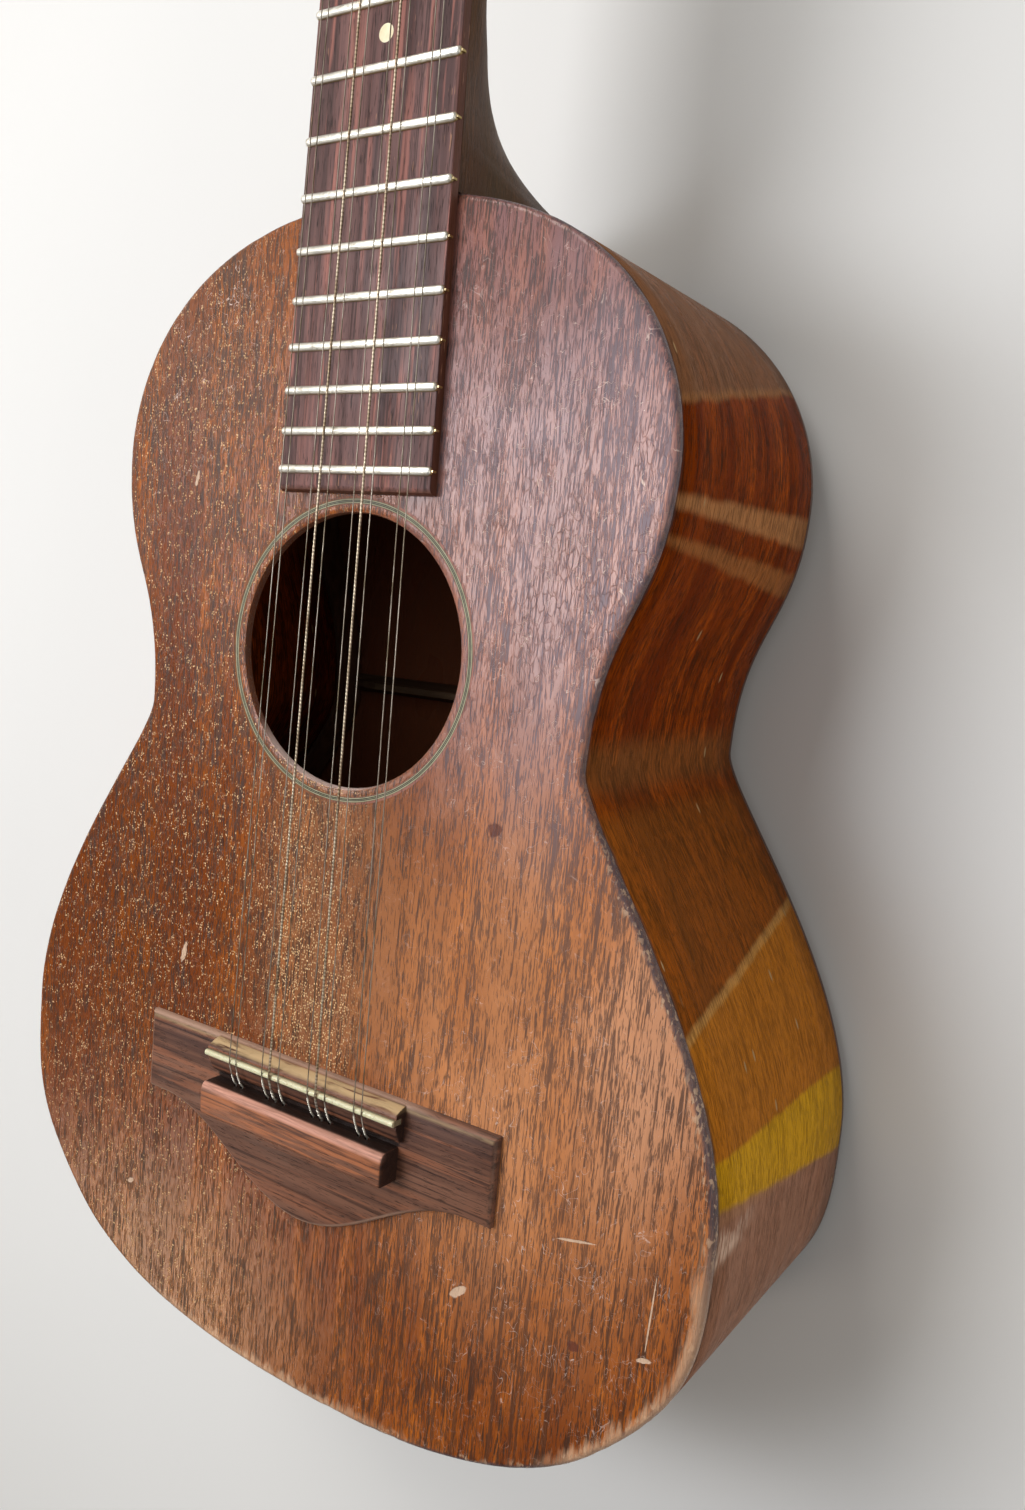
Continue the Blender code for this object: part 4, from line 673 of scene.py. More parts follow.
# Its inside face was never varnished and is paler
inside = arched.xyz(arched.add("NewGeometry").outputs["Normal"])[2]
arched.stain(arched.between(inside, 0.4, 0.6, 0.0, 0.8), (0.36, 0.12, 0.055))
back_varnish = arched.done(arched.patches((25, 60, 25), 0.3, 0.75, 0.25, 0.42, detail=3),
                           arched.relief(arched.cloud((50, 80, 50)), 0.3, arched.normal),
                           IOR=1.45, Specular_IOR_Level=0.3)
# The arch is highest along a line from below the shoulders to the widest place
spine_top, spine_foot = body_top - 63.5, body_top - body_length + 93.3
coarse_edge = bent_edge(8)


def arch_below(x, y):
    """How far the back bulges below its rim."""
    middle = Vector((0.0, min(max(y, spine_foot), spine_top)))
    away = Vector((abs(x), y)) - middle
    if away.length < 1e-4:
        return back_arch
    far = middle + away.normalized() * 300
    for a, b in zip(coarse_edge, coarse_edge[1:]):
        crossing = intersect_line_line_2d(middle, far, a, b)
        if crossing:
            return back_arch * (1 - min(1.0, away.length / (crossing - middle).length) ** 2)
    return 0.0


shell = bmesh.new()
face_through(shell, [(p.x, p.y, 0) for p in whole_edge])
step_in(shell, (1.6, 2.4, 4.0))
# Cuts across and along it, their count, first place and spacing, give the arch its even faces
for count, start, step, normal in ((18, -110, 12.94, (1, 0, 0)), (24, -518, 13.2, (0, 1, 0))):
    for i in range(count):
        inner = [f for f in shell.faces if len(f.verts) > 4 or f.calc_area() > 60]
        around = list({e for f in inner for e in f.edges}) + list({v for f in inner for v in f.verts})
        level = start + step * i
        bmesh.ops.bisect_plane(shell, geom=inner + around, plane_co=[c * level for c in normal],
                               plane_no=normal)
rim_edges = [e for e in shell.edges if e.is_boundary]
up = bmesh.ops.extrude_edge_only(shell, edges=rim_edges)["geom"]
shift(shell, (0, 0, board_thickness), verts_in(up))
lid = bmesh.ops.extrude_edge_only(shell, edges=[e for e in shell.edges if e.is_boundary])["geom"]
for vert in verts_in(lid):
    vert.co.xy = vert.co.xy * 0.96 + Vector((0, body_top - body_length / 2)) * 0.04
rim_wear = shell.verts.layers.float.new("from_edge")
for vert in shell.verts:
    x, y, z = vert.co
    vert[rim_wear] = min(nearest_edge(x, y)[1], 10)
    vert.co.z = z - depth_at(y) - arch_below(x, y)
round_over(shell, rim_edges, 1.1, 3)
settle(shell, "back_plate", back_varnish, stands_for=["back"])

# Inside: blocks and kerfless linings of plain mahogany, and braces and a bridge plate of
# spruce. Nobody varnished them, and dust has greyed them.


def bare_wood(name, light, dark, ring_size, along):
    """Unvarnished wood, with rings ring_size mm apart and its grain along x, y or z."""
    bare = Finish(name)
    grain = [ring_size] * 3
    grain[along] = ring_size * 60
    rings = bare.cloud(grain, 3)
    fine = [0.5] * 3
    fine[along] = 25
    fibres = bare.cloud(fine, 3, 0, 0.7)
    bare.colour = bare.mix(bare.between(rings, 0.35, 0.65), dark, light)
    bare.stain(bare.between(fibres, 0.3, 0.8, 0.35, 0.0), dark)
    bare.stain(bare.cloud((14, 14, 14), 3), (0.16, 0.13, 0.10), 0.35)
    return bare.done(bare.between(fibres, 0.2, 0.8, 0.75, 0.9), bare.relief(fibres, 0.05),
                     Specular_IOR_Level=0.25)


def refinish(nodes, finish):
    """Puts a finish on pieces whose shape from the model is right."""
    for node in nodes:
        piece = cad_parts[node]
        piece.data.materials.clear()
        piece.data.materials.append(finish)


refinish(["neck_block", "tail_block"],
         bare_wood("block_mahogany", (0.19, 0.085, 0.04), (0.10, 0.04, 0.02), 3.0, 2))
refinish([f"lining_{plate}_{hand}" for plate in ("top", "back") for hand in ("bass", "treble")],
         bare_wood("lining_mahogany", (0.22, 0.10, 0.05), (0.12, 0.05, 0.025), 2.0, 1))
refinish(["top_brace_upper", "top_brace_lower", "back_brace_upper", "back_brace_middle", "back_brace_lower",
          "bridge_plate"], bare_wood("brace_spruce", (0.21, 0.125, 0.065), (0.13, 0.07, 0.035), 1.4, 0))

# The neck: one piece of mahogany with its heel and its slotless head, sawn to its profile,
# rounded by hand and dovetailed into the neck block. The head leans back by 13 degrees.
scale_length, last_fret = 431.8, 17
nut_half, last_fret_half = 19.0, 24.3
head_turn = Matrix.Translation((0, 4.9, 0)) @ Matrix.Rotation(-math.radians(13), 4, "X")
head_thickness, head_length, head_corner = 14.0, 138.0, 5.0
head_shoulder, head_flare, head_widening = 13, 8, 4.5
shoulder_stations = (2, 4, 6.5, 9, 11, head_shoulder)
corner_stations = (133, 134, 135, 136, 137, 137.6, 137.9, head_length)
glue_gap = 0.12
neck_wood = mahogany("mahogany_neck", (0.15, 0.068, 0.030), (0.085, 0.036, 0.016))
fill_pores(neck_wood, (0.032, 0.018, 0.012), 0.7)
# Greyish patches where hands have worn the varnish, which also serve as a painted greyish sheen
handled_and_sheen = neck_wood.patches((30, 70, 30), 0.42, 0.7, detail=3)
neck_wood.stain(handled_and_sheen, (0.13, 0.10, 0.065), 0.4)
neck_varnish = neck_wood.done(neck_wood.between(handled_and_sheen, 0, 1, 0.34, 0.5), neck_wood.normal,
                              IOR=1.45, Specular_IOR_Level=0.035)


def fret_line(number):
    return -scale_length * (1 - 2 ** (-number / 12))


def board_half(y):
    return nut_half + (last_fret_half - nut_half) * y / fret_line(last_fret)


def more_stations(stations):
    """One more station between each two, on the smooth curve through them."""
    ends = [stations[0], *stations, stations[-1]]
    fuller = []
    for a, b, c, d in zip(ends, ends[1:], ends[2:], ends[3:]):
        fuller += [b, tuple((9 * (q + r) - p - s) / 16 for p, q, r, s in zip(a, b, c, d))]
    return [*fuller, stations[-1]]


def head_half(u):
    """The head's half width: a flared shoulder, straight sides and round corners."""
    if u < head_shoulder:
        return nut_half + head_flare * (0.5 - 0.5 * math.cos(math.pi * u / head_shoulder))
    past = max(0.0, u - head_length + head_corner)
    widest = nut_half + head_flare + head_widening * (u - head_shoulder) / (head_length - head_shoulder)
    return widest - head_corner + math.sqrt(max(0.0, head_corner**2 - past**2))


def neck_section(half, depth, foot, square, heel):
    """The neck's shape across: flat above, and round, squared or drawn in like a heel below."""
    right = []
    for i in range(13):
        turn = math.radians(7.5 * i)
        inwards = (1 - heel) * math.cos(turn) ** (2 / square) + heel * (1 - math.sin(turn)) ** 1.3
        down = (1 - heel) * math.sin(turn) ** (2 / square) + heel * math.sin(turn)
        right.append((foot + (half - foot) * inwards, -depth * down))
    return [*right, *((-x, z) for x, z in reversed(right))]


slender, heel_deep = 19.5, 86.1
deeper = heel_deep - slender
# Along the neck: how far ahead of the body, how deep, and how much drawn in like a heel
shaft = [(203.4, 14.0, 0.0), (90, 16.2, 0.0), (58, 18.5, 0.0), (44, 21.3, 0.05), (36, 26.2, 0.15),
         (30, slender + 0.17 * deeper, 0.3), (24, slender + 0.28 * deeper, 0.5),
         (19, slender + 0.42 * deeper, 0.7), (15, slender + 0.60 * deeper, 0.85),
         (12, slender + 0.78 * deeper, 1.0), (10, slender + 0.93 * deeper, 1.0), (8.5, heel_deep, 1.0)]
neck = bmesh.new()
hoops = []
section = neck_section(board_half(body_top), heel_deep, 9.0, 2, 1.0)
hoops.append(ring_of(neck, [(x, neck_side_edge(abs(x)) + glue_gap, z) for x, z in section]))
for ahead, depth, heel in reversed(more_stations(more_stations(shaft))):
    y = body_top + ahead
    section = neck_section(board_half(y), min(depth, heel_deep), 1.5 + 7.5 * heel, 2, min(heel, 1.0))
    hoops.append(ring_of(neck, [(x, y, z) for x, z in section]))
for u in (0, *shoulder_stations, 40, 80, 120, *corner_stations):
    section = neck_section(head_half(u), head_thickness, 1.5, 2 + 12 * min(1, u / head_shoulder), 0)
    hoops.append(ring_of(neck, [head_turn @ Vector((x, u, z)) for x, z in section]))
for a, b in zip(hoops, hoops[1:]):
    bmesh.ops.bridge_loops(neck, edges=a + b)
for hoop in (hoops[0], hoops[-1]):
    bmesh.ops.contextual_create(neck, geom=hoop)
settle(neck, "neck_and_head", neck_varnish, stands_for=["neck"], crease=40)

# The fretboard: a dark rosewood board glued on the neck, sawn for seventeen nickel-silver
# frets that are hammered in and filed off at the ends. Its end is bevelled, short of the soundhole.
board_top, board_bottom = 3.12, glue_gap
board_end = fret_line(last_fret) - 5.6


def rosewood(name, light, dark, streak, grain_along=1):
    """Oiled rosewood: dark pores and ink lines with redder streaks between them."""
    wood = Finish(name)

    def stretch(across, along):
        return [along if axis == grain_along else across for axis in range(3)]

    bands = wood.cloud(stretch(5, 180), 4, 0.4, 0.6)
    wood.colour = wood.mix(wood.between(bands, 0.36, 0.64), dark, light)
    wood.stain(wood.patches(stretch(2.2, 60), 0.52, 0.68, 0, 0.75, detail=3, warp=0.5), streak)
    ink = wood.patches(stretch(1.1, 90), 0.56, 0.64, detail=3, warp=0.6)
    wood.stain(ink, (0.018, 0.009, 0.008), 0.6)
    wood.pores = wood.patches(stretch(0.28, 4.5), 0.6, 0.68, detail=2)
    wood.stain(wood.pores, (0.014, 0.008, 0.007), 0.75)
    fibres = wood.cloud(stretch(0.3, 18), 3, 0, 0.7)
    wood.normal = wood.relief(wood.pores, -0.06, wood.relief(fibres, 0.03))
    return wood


board_wood = rosewood("rosewood_fretboard", (0.20, 0.100, 0.090), (0.080, 0.042, 0.040), (0.36, 0.14, 0.11))
edge_red = board_wood.along("z", board_top - 0.6, board_top - 0.1, 1.0, 0.0)
board_wood.stain(edge_red, (0.11, 0.035, 0.014), 0.7)
scrapes = board_wood.times(board_wood.patches((0.5, 5, 0.5), 0.66, 0.7, detail=1),
                           board_wood.patches((12, 25, 12), 0.5, 0.6))
board_wood.stain(scrapes, (0.36, 0.18, 0.11), 0.7)
board_oil = board_wood.done(board_wood.patches((6, 20, 6), 0.3, 0.7, 0.36, 0.55, detail=3),
                            board_wood.normal, Specular_IOR_Level=0.2)

board = bmesh.new()
corners = ((-nut_half, -glue_gap), (-board_half(board_end), board_end), (board_half(board_end), board_end),
           (nut_half, -glue_gap))
pull(board, face_through(board, [(x, y, board_bottom) for x, y in corners]), (0, 0, board_top - board_bottom))
bevelled_end = [e for e in board.edges if all(v.co.z > 3 and v.co.y < board_end + 1 for v in e.verts)]
round_over(board, bevelled_end, 1.8, 2)
bmesh.ops.bisect_plane(board, geom=board.verts[:] + board.edges[:] + board.faces[:], plane_co=(0, -100, 0),
                       plane_no=(0, 1, 0))
long_edges = [e for e in board.edges if all(v.co.z > 3 for v in e.verts) and abs(e.verts[0].co.x) > 15
              and e.verts[0].co.x * e.verts[1].co.x > 0]
round_over(board, long_edges, 0.35, 2)
settle(board, "fretboard_plank", board_oil, stands_for=["fretboard"])

fret_metal = Finish("nickel_silver")
crown = fret_metal.along("z", board_top + 0.15, board_top + 0.75)
rubbed_and_glint = fret_metal.cloud((0.3, 3, 0.3), 3)
fret_metal.colour = fret_metal.mix(crown, (0.42, 0.31, 0.12),
                                   fret_metal.mix(rubbed_and_glint, (0.78, 0.74, 0.64), (0.90, 0.88, 0.82)))
fret_metal.stain(fret_metal.patches((2.5, 1.5, 1), 0.55, 0.7, 0, 0.5, detail=3), (0.35, 0.29, 0.18))
fret_finish = fret_metal.done(fret_metal.between(rubbed_and_glint, 0.3, 0.7, 0.28, 0.5), fret_metal.relief(rubbed_and_glint, 0.02),
                              Metallic=0.85)

crown_half, crown_height = 1.15, 1.0
frets = bmesh.new()
for number in range(1, last_fret + 1):
    y = fret_line(number)
    half = board_half(y)
    crowns = []
    # Filed down at both ends: places across the board and the share of the full height there
    for x, share in ((-half - 0.15, 0.55), (-half + 0.1, 0.85), (-half + 0.7, 1), (half - 0.7, 1),
                     (half - 0.1, 0.85), (half + 0.2, 0.55)):
        oval = [(x, y + crown_half * share * math.cos(a), board_top + crown_height * share * math.sin(a))
                for a in (math.tau * i / 20 for i in range(20))]
        crowns.append(ring_of(frets, oval))
    for a, b in zip(crowns, crowns[1:]):
        bmesh.ops.bridge_loops(frets, edges=a + b)
    for end in (crowns[0], crowns[-1]):
        bmesh.ops.contextual_create(frets, geom=end)
    tang = bmesh.ops.create_cube(frets, size=1)["verts"]
    resize(frets, (1.6, 0.5, 1.5), tang)
    shift(frets, (half - 0.05, y, board_top - 0.45), tang)
settle(frets, "frets", fret_finish, crease=50)

# The position dots: ivory-coloured celluloid discs, glued into shallow holes in the board behind
# three of its frets and scraped nearly level with it.
dot_plastic = Finish("dot_celluloid")
dot_plastic.colour = dot_plastic.mix(dot_plastic.cloud((1.2, 3, 1.2), 3), (0.72, 0.60, 0.36),
                                     (0.86, 0.78, 0.56))
dot_finish = dot_plastic.done(dot_plastic.patches((1, 1, 1), 0.3, 0.7, 0.3, 0.42),
                              dot_plastic.relief(dot_plastic.cloud((0.8, 0.8, 0.8)), 0.02))
dot_radius, dot_depth, dot_proud = 2.2, 0.8, 0.03
for number in (5, 7, 9):
    disc = bmesh.new()
    y = (fret_line(number - 1) + fret_line(number)) / 2
    bmesh.ops.create_circle(disc, cap_ends=True, segments=40, radius=dot_radius)
    pull(disc, disc.faces[:], (0, 0, dot_depth + dot_proud))
    round_over(disc, [e for e in disc.edges if all(v.co.z > 0.5 for v in e.verts)], 0.1, 2)
    shift(disc, (0, y, board_top - dot_depth))
    settle(disc, f"inlay_dot_{number}", dot_finish, stands_for=[f"dot_{number}"])

# The head's face: a rosewood veneer glued over the mahogany, drilled for the ten posts, which
# turn in pressed nickel bushings.
posts_per_side, first_post, post_pitch, post_from_middle = 5, 26.0, 23.5, 19.0
post_hole, sheet_thickness, sheet_edge = 3.6, 1.5, 0.15


def worked_out(piece):
    """The shape of a curve, or of an object that has been cut."""
    bpy.context.view_layer.update()
    seen = piece.evaluated_get(bpy.context.evaluated_depsgraph_get())
    bm = bmesh.new()
    bm.from_mesh(bpy.data.meshes.new_from_object(seen))
    return bm


veneer_wood = rosewood("rosewood_veneer", (0.115, 0.050, 0.036), (0.050, 0.022, 0.018), (0.16, 0.06, 0.035))
veneer_finish = veneer_wood.done(veneer_wood.patches((10, 30, 10), 0.3, 0.7, 0.24, 0.42, detail=3),
                                 veneer_wood.normal)
post_spots = [(way * post_from_middle, first_post + post_pitch * i) for way in (-1, 1)
              for i in range(posts_per_side)]
right = [(nut_half, 0.15), *((head_half(u), u) for u in (*shoulder_stations, 60, 120, *corner_stations))]
sheet = bpy.data.curves.new("veneer sheet", "CURVE")
sheet.dimensions, sheet.fill_mode, sheet.bevel_resolution = "2D", "BOTH", 1
sheet.extrude, sheet.bevel_depth, sheet.offset = sheet_thickness / 2 - sheet_edge, sheet_edge, -sheet_edge
circle = [Vector((post_hole, 0)) @ Matrix.Rotation(-math.tau * i / 28, 2) for i in range(28)]
holes = [[(x + off.x, u + off.y) for off in circle] for x, u in post_spots]
for loop in [[*right, *((-x, u) for x, u in reversed(right))], *holes]:
    spline = sheet.splines.new("POLY")
    spline.points.add(len(loop) - 1)
    for point, (x, y) in zip(spline.points, loop):
        point.co = (x, y, 0, 1)
    spline.use_cyclic_u = True
drawn = bpy.data.objects.new("veneer sheet", sheet)
scene.collection.objects.link(drawn)
veneer = worked_out(drawn)
bpy.data.objects.remove(drawn)
bmesh.ops.remove_doubles(veneer, verts=veneer.verts, dist=1e-4)
shift(veneer, (0, 0, glue_gap + sheet_thickness / 2))
settle(veneer, "head_face_veneer", veneer_finish, stands_for=["head_veneer"], turned=head_turn,
       crease=15)


def plated(name, colour=(0.62, 0.60, 0.55), tarnish=(0.30, 0.25, 0.17)):
    """Old nickel plate, dulled in the corners and finely scratched."""
    metal = Finish(name)
    dull = metal.patches((5, 5, 5), 0.45, 0.7, detail=4, warp=0.5, rough=0.6)
    metal.colour = metal.mix(metal.times(dull, 0.6), colour, tarnish)
    rubs = metal.cloud((4, 0.25, 0.25), 2)
    return metal.done(metal.sum(metal.between(dull, 0, 1, 0.24, 0.46), metal.times(rubs, 0.1)),
                      metal.relief(rubs, 0.008), Metallic=1.0)


def lathe(bm, profile, steps, middle=(0, 0, 0), axis=(0, 0, 1)):
    """Turns a profile of (radius, height) points round the axis."""
    along = Vector(axis)
    out = Vector((0, 1, 0)) if abs(along.x) > 0.5 else Vector((1, 0, 0))
    start = [bm.verts.new(Vector(middle) + out * max(r, 0.0001) + along * h) for r, h in profile]
    wire = start + [bm.edges.new(pair) for pair in zip(start, start[1:])]
    bmesh.ops.spin(bm, geom=wire, cent=middle, axis=axis, angle=math.tau, steps=steps, use_merge=True)


nickel = plated("nickel_plate")
bushings = bmesh.new()
for x, u in post_spots:
    lathe(bushings, ((3.5, 0.9), (3.15, 1.2), (3.15, 2.5), (3.4, 2.75), (4.6, 2.6), (5.2, 2.1), (5.3, 1.55)),
          32, (x, u, 0))
settle(bushings, "post_bushings", nickel, turned=head_turn)

# The nut: a bone strip at the board's end, with a filed slot for each of the ten strings.
# Their courses are of 2, 3, 3 and 2, and the middle string of each three is wound.
plain, wound = 0.15, 0.33
# For each string: its radius, its place on the saddle and its place at the nut.
strings = ((plain, -23.4, -15.6), (plain, -21.0, -13.6), (plain, -11.3, -7.4), (wound, -8.4, -5.0),
           (plain, -5.3, -2.6), (plain, 5.1, 2.6), (wound, 8.1, 5.0), (plain, 11.1, 7.4), (plain, 20.9, 13.6),
           (plain, 23.5, 15.6))


def old_bone(name, light, dark, darker_below):
    """Yellowed bone, darker below a level."""
    bone = Finish(name)
    bone.colour = bone.mix(bone.cloud((2, 8, 2), 4, 0.4, 0.65), dark, light)
    bone.stain(bone.along("z", darker_below - 0.3, darker_below + 0.2, 0.75, 0.0), (0.13, 0.085, 0.05))
    specks = bone.patches((0.35, 1.1, 0.35), 0.62, 0.7, detail=2)
    bone.stain(specks, (0.30, 0.22, 0.12), 0.5)
    return bone.done(bone.patches((2, 2, 2), 0.3, 0.7, 0.26, 0.42), bone.relief(specks, -0.03),
                     Subsurface_Weight=0.08, Subsurface_Scale=0.002)


nut_bone = old_bone("nut_bone", (0.74, 0.66, 0.46), (0.52, 0.43, 0.27), 0.4)
nut_top, slot_foot, slot_play = 5.0, 4.5, 0.1
nut_outline = [(-nut_half, glue_gap), (-nut_half, nut_top - 0.3), (-nut_half + 0.3, nut_top)]
for radius, _, x in strings:
    left, right = x - radius - slot_play, x + radius + slot_play
    nut_outline += [(left, nut_top), (left, slot_foot), (right, slot_foot), (right, nut_top)]
nut_outline += [(nut_half - 0.3, nut_top), (nut_half, nut_top - 0.3), (nut_half, glue_gap)]
strip = bmesh.new()
reached = glue_gap
nut_face = face_through(strip, [(x, reached, z) for x, z in nut_outline])
# Towards the head its top falls away
for y, fall in ((1.2, 0.0), (3.4, 0.45), (4.3, 0.55), (4.5, 0.5)):
    nut_face = pull(strip, nut_face, (0, y - reached, 0))
    reached = y
    for vert in {v for f in nut_face for v in f.verts if v.co.z > 2}:
        vert.co.z -= fall
settle(strip, "bone_nut", nut_bone, stands_for=["nut"])

# The bridge: one block of rosewood, carved to a thin base with straight wings and a belly, a
# saddle block with its ramp, and a tie block drilled for the strings. It is glued to the soundboard.
saddle_y = -432.6
bridge_front = saddle_y + 4.0
base_top, chamfer = 2.5, 1.2
block_half, block_top = 33.5, 6.5
channel, tie_front = saddle_y - 6.2, saddle_y - 7.8
tie_half, tie_length, tie_top = 32.3, 9.4, 10.0
string_height, drill_radius, slot_half, slot_floor, sunk = 4.6, 0.85, 0.95, 3.9, 1.5
bridge_wood = rosewood("rosewood_bridge", (0.175, 0.080, 0.050), (0.065, 0.030, 0.022), (0.25, 0.095, 0.05),
                       grain_along=0)


def across_bridge(start, end, low, soft=0.5):
    """1 between two places along the bridge's length, above a level."""
    here = bridge_wood.along("y", start - soft, start + soft, 1.0, 0.0)
    here = bridge_wood.times(here, bridge_wood.along("y", end - soft, end + soft))
    return bridge_wood.times(here, bridge_wood.along("z", low - soft, low + soft))


# Hands have worn the front rail pale yellowish, and it is painted paler still as lit from the neck side. The
# tie block's front edge is a painted pink highlight, and the thin edge of the base is rubbed pale and painted
# as lit from the bass side.
# The end faces that look to the treble side are painted shade, and the slot is painted nearly black as shadow.
rail = bridge_wood.times(across_bridge(bridge_front + 1, saddle_y + 2.2, 2.6),
                         bridge_wood.patches((12, 1.2, 3), 0.3, 0.5, detail=3, warp=0.8))
bridge_wood.stain(rail, (0.60, 0.43, 0.23), 0.85)
# The base's thin edge: rubbed pale, and a painted highlight that fades towards the treble end
base_edge_rub_and_light = bridge_wood.along("z", 2.1, 2.5, 1.0, 0.0)
base_edge_rub_and_light = bridge_wood.times(base_edge_rub_and_light, bridge_wood.along("x", 30, 45, 0.65, 0.1))
bridge_wood.stain(base_edge_rub_and_light, (0.50, 0.32, 0.23))
tie_crown = across_bridge(tie_front + 1, tie_front - 10, 8.6, 0.6)
figure = bridge_wood.patches((18, 0.9, 2.5), 0.36, 0.66, detail=4, warp=0.7)
bridge_wood.stain(bridge_wood.times(tie_crown, figure), (0.40, 0.14, 0.06), 0.8)
# The tie block's rounded front edge: a painted pink highlight
tie_edge_highlight = bridge_wood.times(across_bridge(tie_front + 1, tie_front - 2.0, 8.0, 0.7),
                             bridge_wood.between(figure, 0, 1, 0.5, 0.85))
bridge_wood.stain(tie_edge_highlight, (0.60, 0.31, 0.23))
# The slot between the saddle block and the tie block: a painted shadow
slot_shadow = across_bridge(channel + 0.8, tie_front - 0.15, -5, 0.15)
slot_shadow = bridge_wood.times(slot_shadow, bridge_wood.along("z", 8.2, 9.0, 1.0, 0.0))
sideways = bridge_wood.off_zero(bridge_wood.xyz()[0])
slot_shadow = bridge_wood.times(
    slot_shadow, bridge_wood.between(sideways, (tie_half - 0.5) * mm, (tie_half + 0.5) * mm, 0.9, 0.0))
bridge_wood.stain(slot_shadow, (0.010, 0.006, 0.005))
# Faces that look to the treble side: painted shade
facing = bridge_wood.xyz(bridge_wood.add("NewGeometry").outputs["Normal"])
treble_end_shade = bridge_wood.times(bridge_wood.between(facing[0], 0.35, 0.8), bridge_wood.along("z", 2, 3))
bridge_wood.stain(treble_end_shade, (0.022, 0.012, 0.010), 0.85)
bridge_oil = bridge_wood.done(bridge_wood.patches((14, 5, 5), 0.3, 0.7, 0.34, 0.52, detail=3),
                              bridge_wood.normal, Specular_IOR_Level=0.16)


def bar(outline, half):
    """A bar that runs across the bridge, from a side view of (y, z) points."""
    bm = bmesh.new()
    pull(bm, face_through(bm, [(-half, y, z) for y, z in outline]), (2 * half, 0, 0))
    bmesh.ops.recalc_face_normals(bm, faces=bm.faces)
    return bm


def carved(bm, cutters):
    """The shape with the cutters' shape taken out of it."""
    pair = []
    for part in (bm, cutters):
        bmesh.ops.recalc_face_normals(part, faces=part.faces)
        pair.append(bpy.data.objects.new("blank", mesh_from(part, "blank")))
        scene.collection.objects.link(pair[-1])
    cut = pair[0].modifiers.new("cut", "BOOLEAN")
    cut.operation, cut.solver, cut.object = "DIFFERENCE", "EXACT", pair[1]
    left = worked_out(pair[0])
    for obj in pair:
        bpy.data.objects.remove(obj)
    return left


def join(bm, other):
    bm.from_mesh(mesh_from(other, "joined"))


wing_half, wing_rear, belly_half, belly_reach = 61, bridge_front - 23.9, 54, 20.7
curve_hold, lift_off_board = 20, 0.08
belly = interpolate_bezier(*(Vector((x, wing_rear - out, 0)) for x, out in (
    (belly_half, 0), (belly_half - curve_hold, 0), (curve_hold, belly_reach), (0, belly_reach))), 24)
right = [*(Vector((wing_half * i / 6, bridge_front, 0)) for i in range(7)), Vector((wing_half, wing_rear, 0)),
         *belly]
base = bmesh.new()
outline = [(p.x, p.y, lift_off_board) for p in right] + [(-p.x, p.y, lift_off_board)
                                                         for p in reversed(right[1:-1])]
crown_face = pull(base, face_through(base, outline), (0, 0, base_top - chamfer - lift_off_board))
for inwards, rise in ((0.25, 0.5), (0.4, 0.42), (0.6, 0.28)):
    base.normal_update()
    bmesh.ops.inset_individual(base, faces=crown_face, thickness=inwards, use_even_offset=True)
    shift(base, (0, 0, rise), list(crown_face[0].verts))
# Side views of the saddle block, with its slot and ramp, and of the tie block
block = bar([(bridge_front - 0.2, sunk), (bridge_front - 0.9, 4.2), (bridge_front - 2.0, block_top),
             (saddle_y + slot_half, block_top), (saddle_y + slot_half, slot_floor),
             (saddle_y - slot_half, slot_floor), (saddle_y - slot_half, block_top),
             (saddle_y - 1.9, block_top - 0.1), (channel, string_height - 0.5), (channel, sunk)], block_half)
ends = [e for e in block.edges if span(e, 0) < 0.01 and all(abs(v.co.y - saddle_y) > 1.5 for v in e.verts)
        and max(v.co.z for v in e.verts) > 4]
long_edges = [e for e in block.edges if span(e, 0) > 10 and e.verts[0].co.z > 3.95
              and abs(e.verts[0].co.y - saddle_y) > 1.5]
round_over(block, list(set(ends + long_edges)), 0.75, 3)
tie = bar([(tie_front, sunk), (tie_front, tie_top - 1.4), (tie_front - 0.7, tie_top - 0.5),
           (tie_front - 2.2, tie_top - 0.05), (tie_front - 3.6, tie_top),
           (tie_front - tie_length, tie_top - 0.3), (tie_front - tie_length - 0.3, sunk)], tie_half)
upper = [e for e in tie.edges if max(v.co.z for v in e.verts) > 8]
round_over(tie, upper, 0.9, 4)
drills = bmesh.new()
for _, x, _ in strings:
    bmesh.ops.create_cone(drills, cap_ends=True, segments=14, radius1=drill_radius, radius2=drill_radius,
                          depth=tie_length + 3,
                          matrix=Matrix.Translation((x, tie_front - tie_length / 2, string_height))
                          @ Matrix.Rotation(math.pi / 2, 4, "X"))
tie = carved(tie, drills)
join(base, block)
join(base, tie)
settle(base, "rosewood_bridge", bridge_oil, stands_for=["bridge"], crease=28)

# The saddle: a thin strip of old greenish bone, its crest worn round. It stands in the saddle
# block's slot without glue, and the strings hold it down.
saddle_bone = old_bone("saddle_bone", (0.68, 0.64, 0.42), (0.48, 0.45, 0.27), 7.1)
saddle_half, saddle_foot, crest_foot, saddle_crest = 0.82, 4.0, 7.3, 8.0
crest = [(saddle_y + saddle_half, saddle_foot), (saddle_y + saddle_half, crest_foot)]
crest += [(saddle_y + saddle_half * math.cos(a), crest_foot + (saddle_crest - crest_foot) * math.sin(a))
          for a in (math.pi * i / 10 for i in range(1, 10))]
crest += [(saddle_y - saddle_half, crest_foot), (saddle_y - saddle_half, saddle_foot)]
strip = bar(crest, block_half - 0.25)
settle(strip, "bone_saddle", saddle_bone, stands_for=["saddle"])

# The strings: plain steel, with two thicker ones wound in bronze wire. Each runs from a ball
# behind the tie block, where its end is twisted back on itself, over saddle and nut to its post.


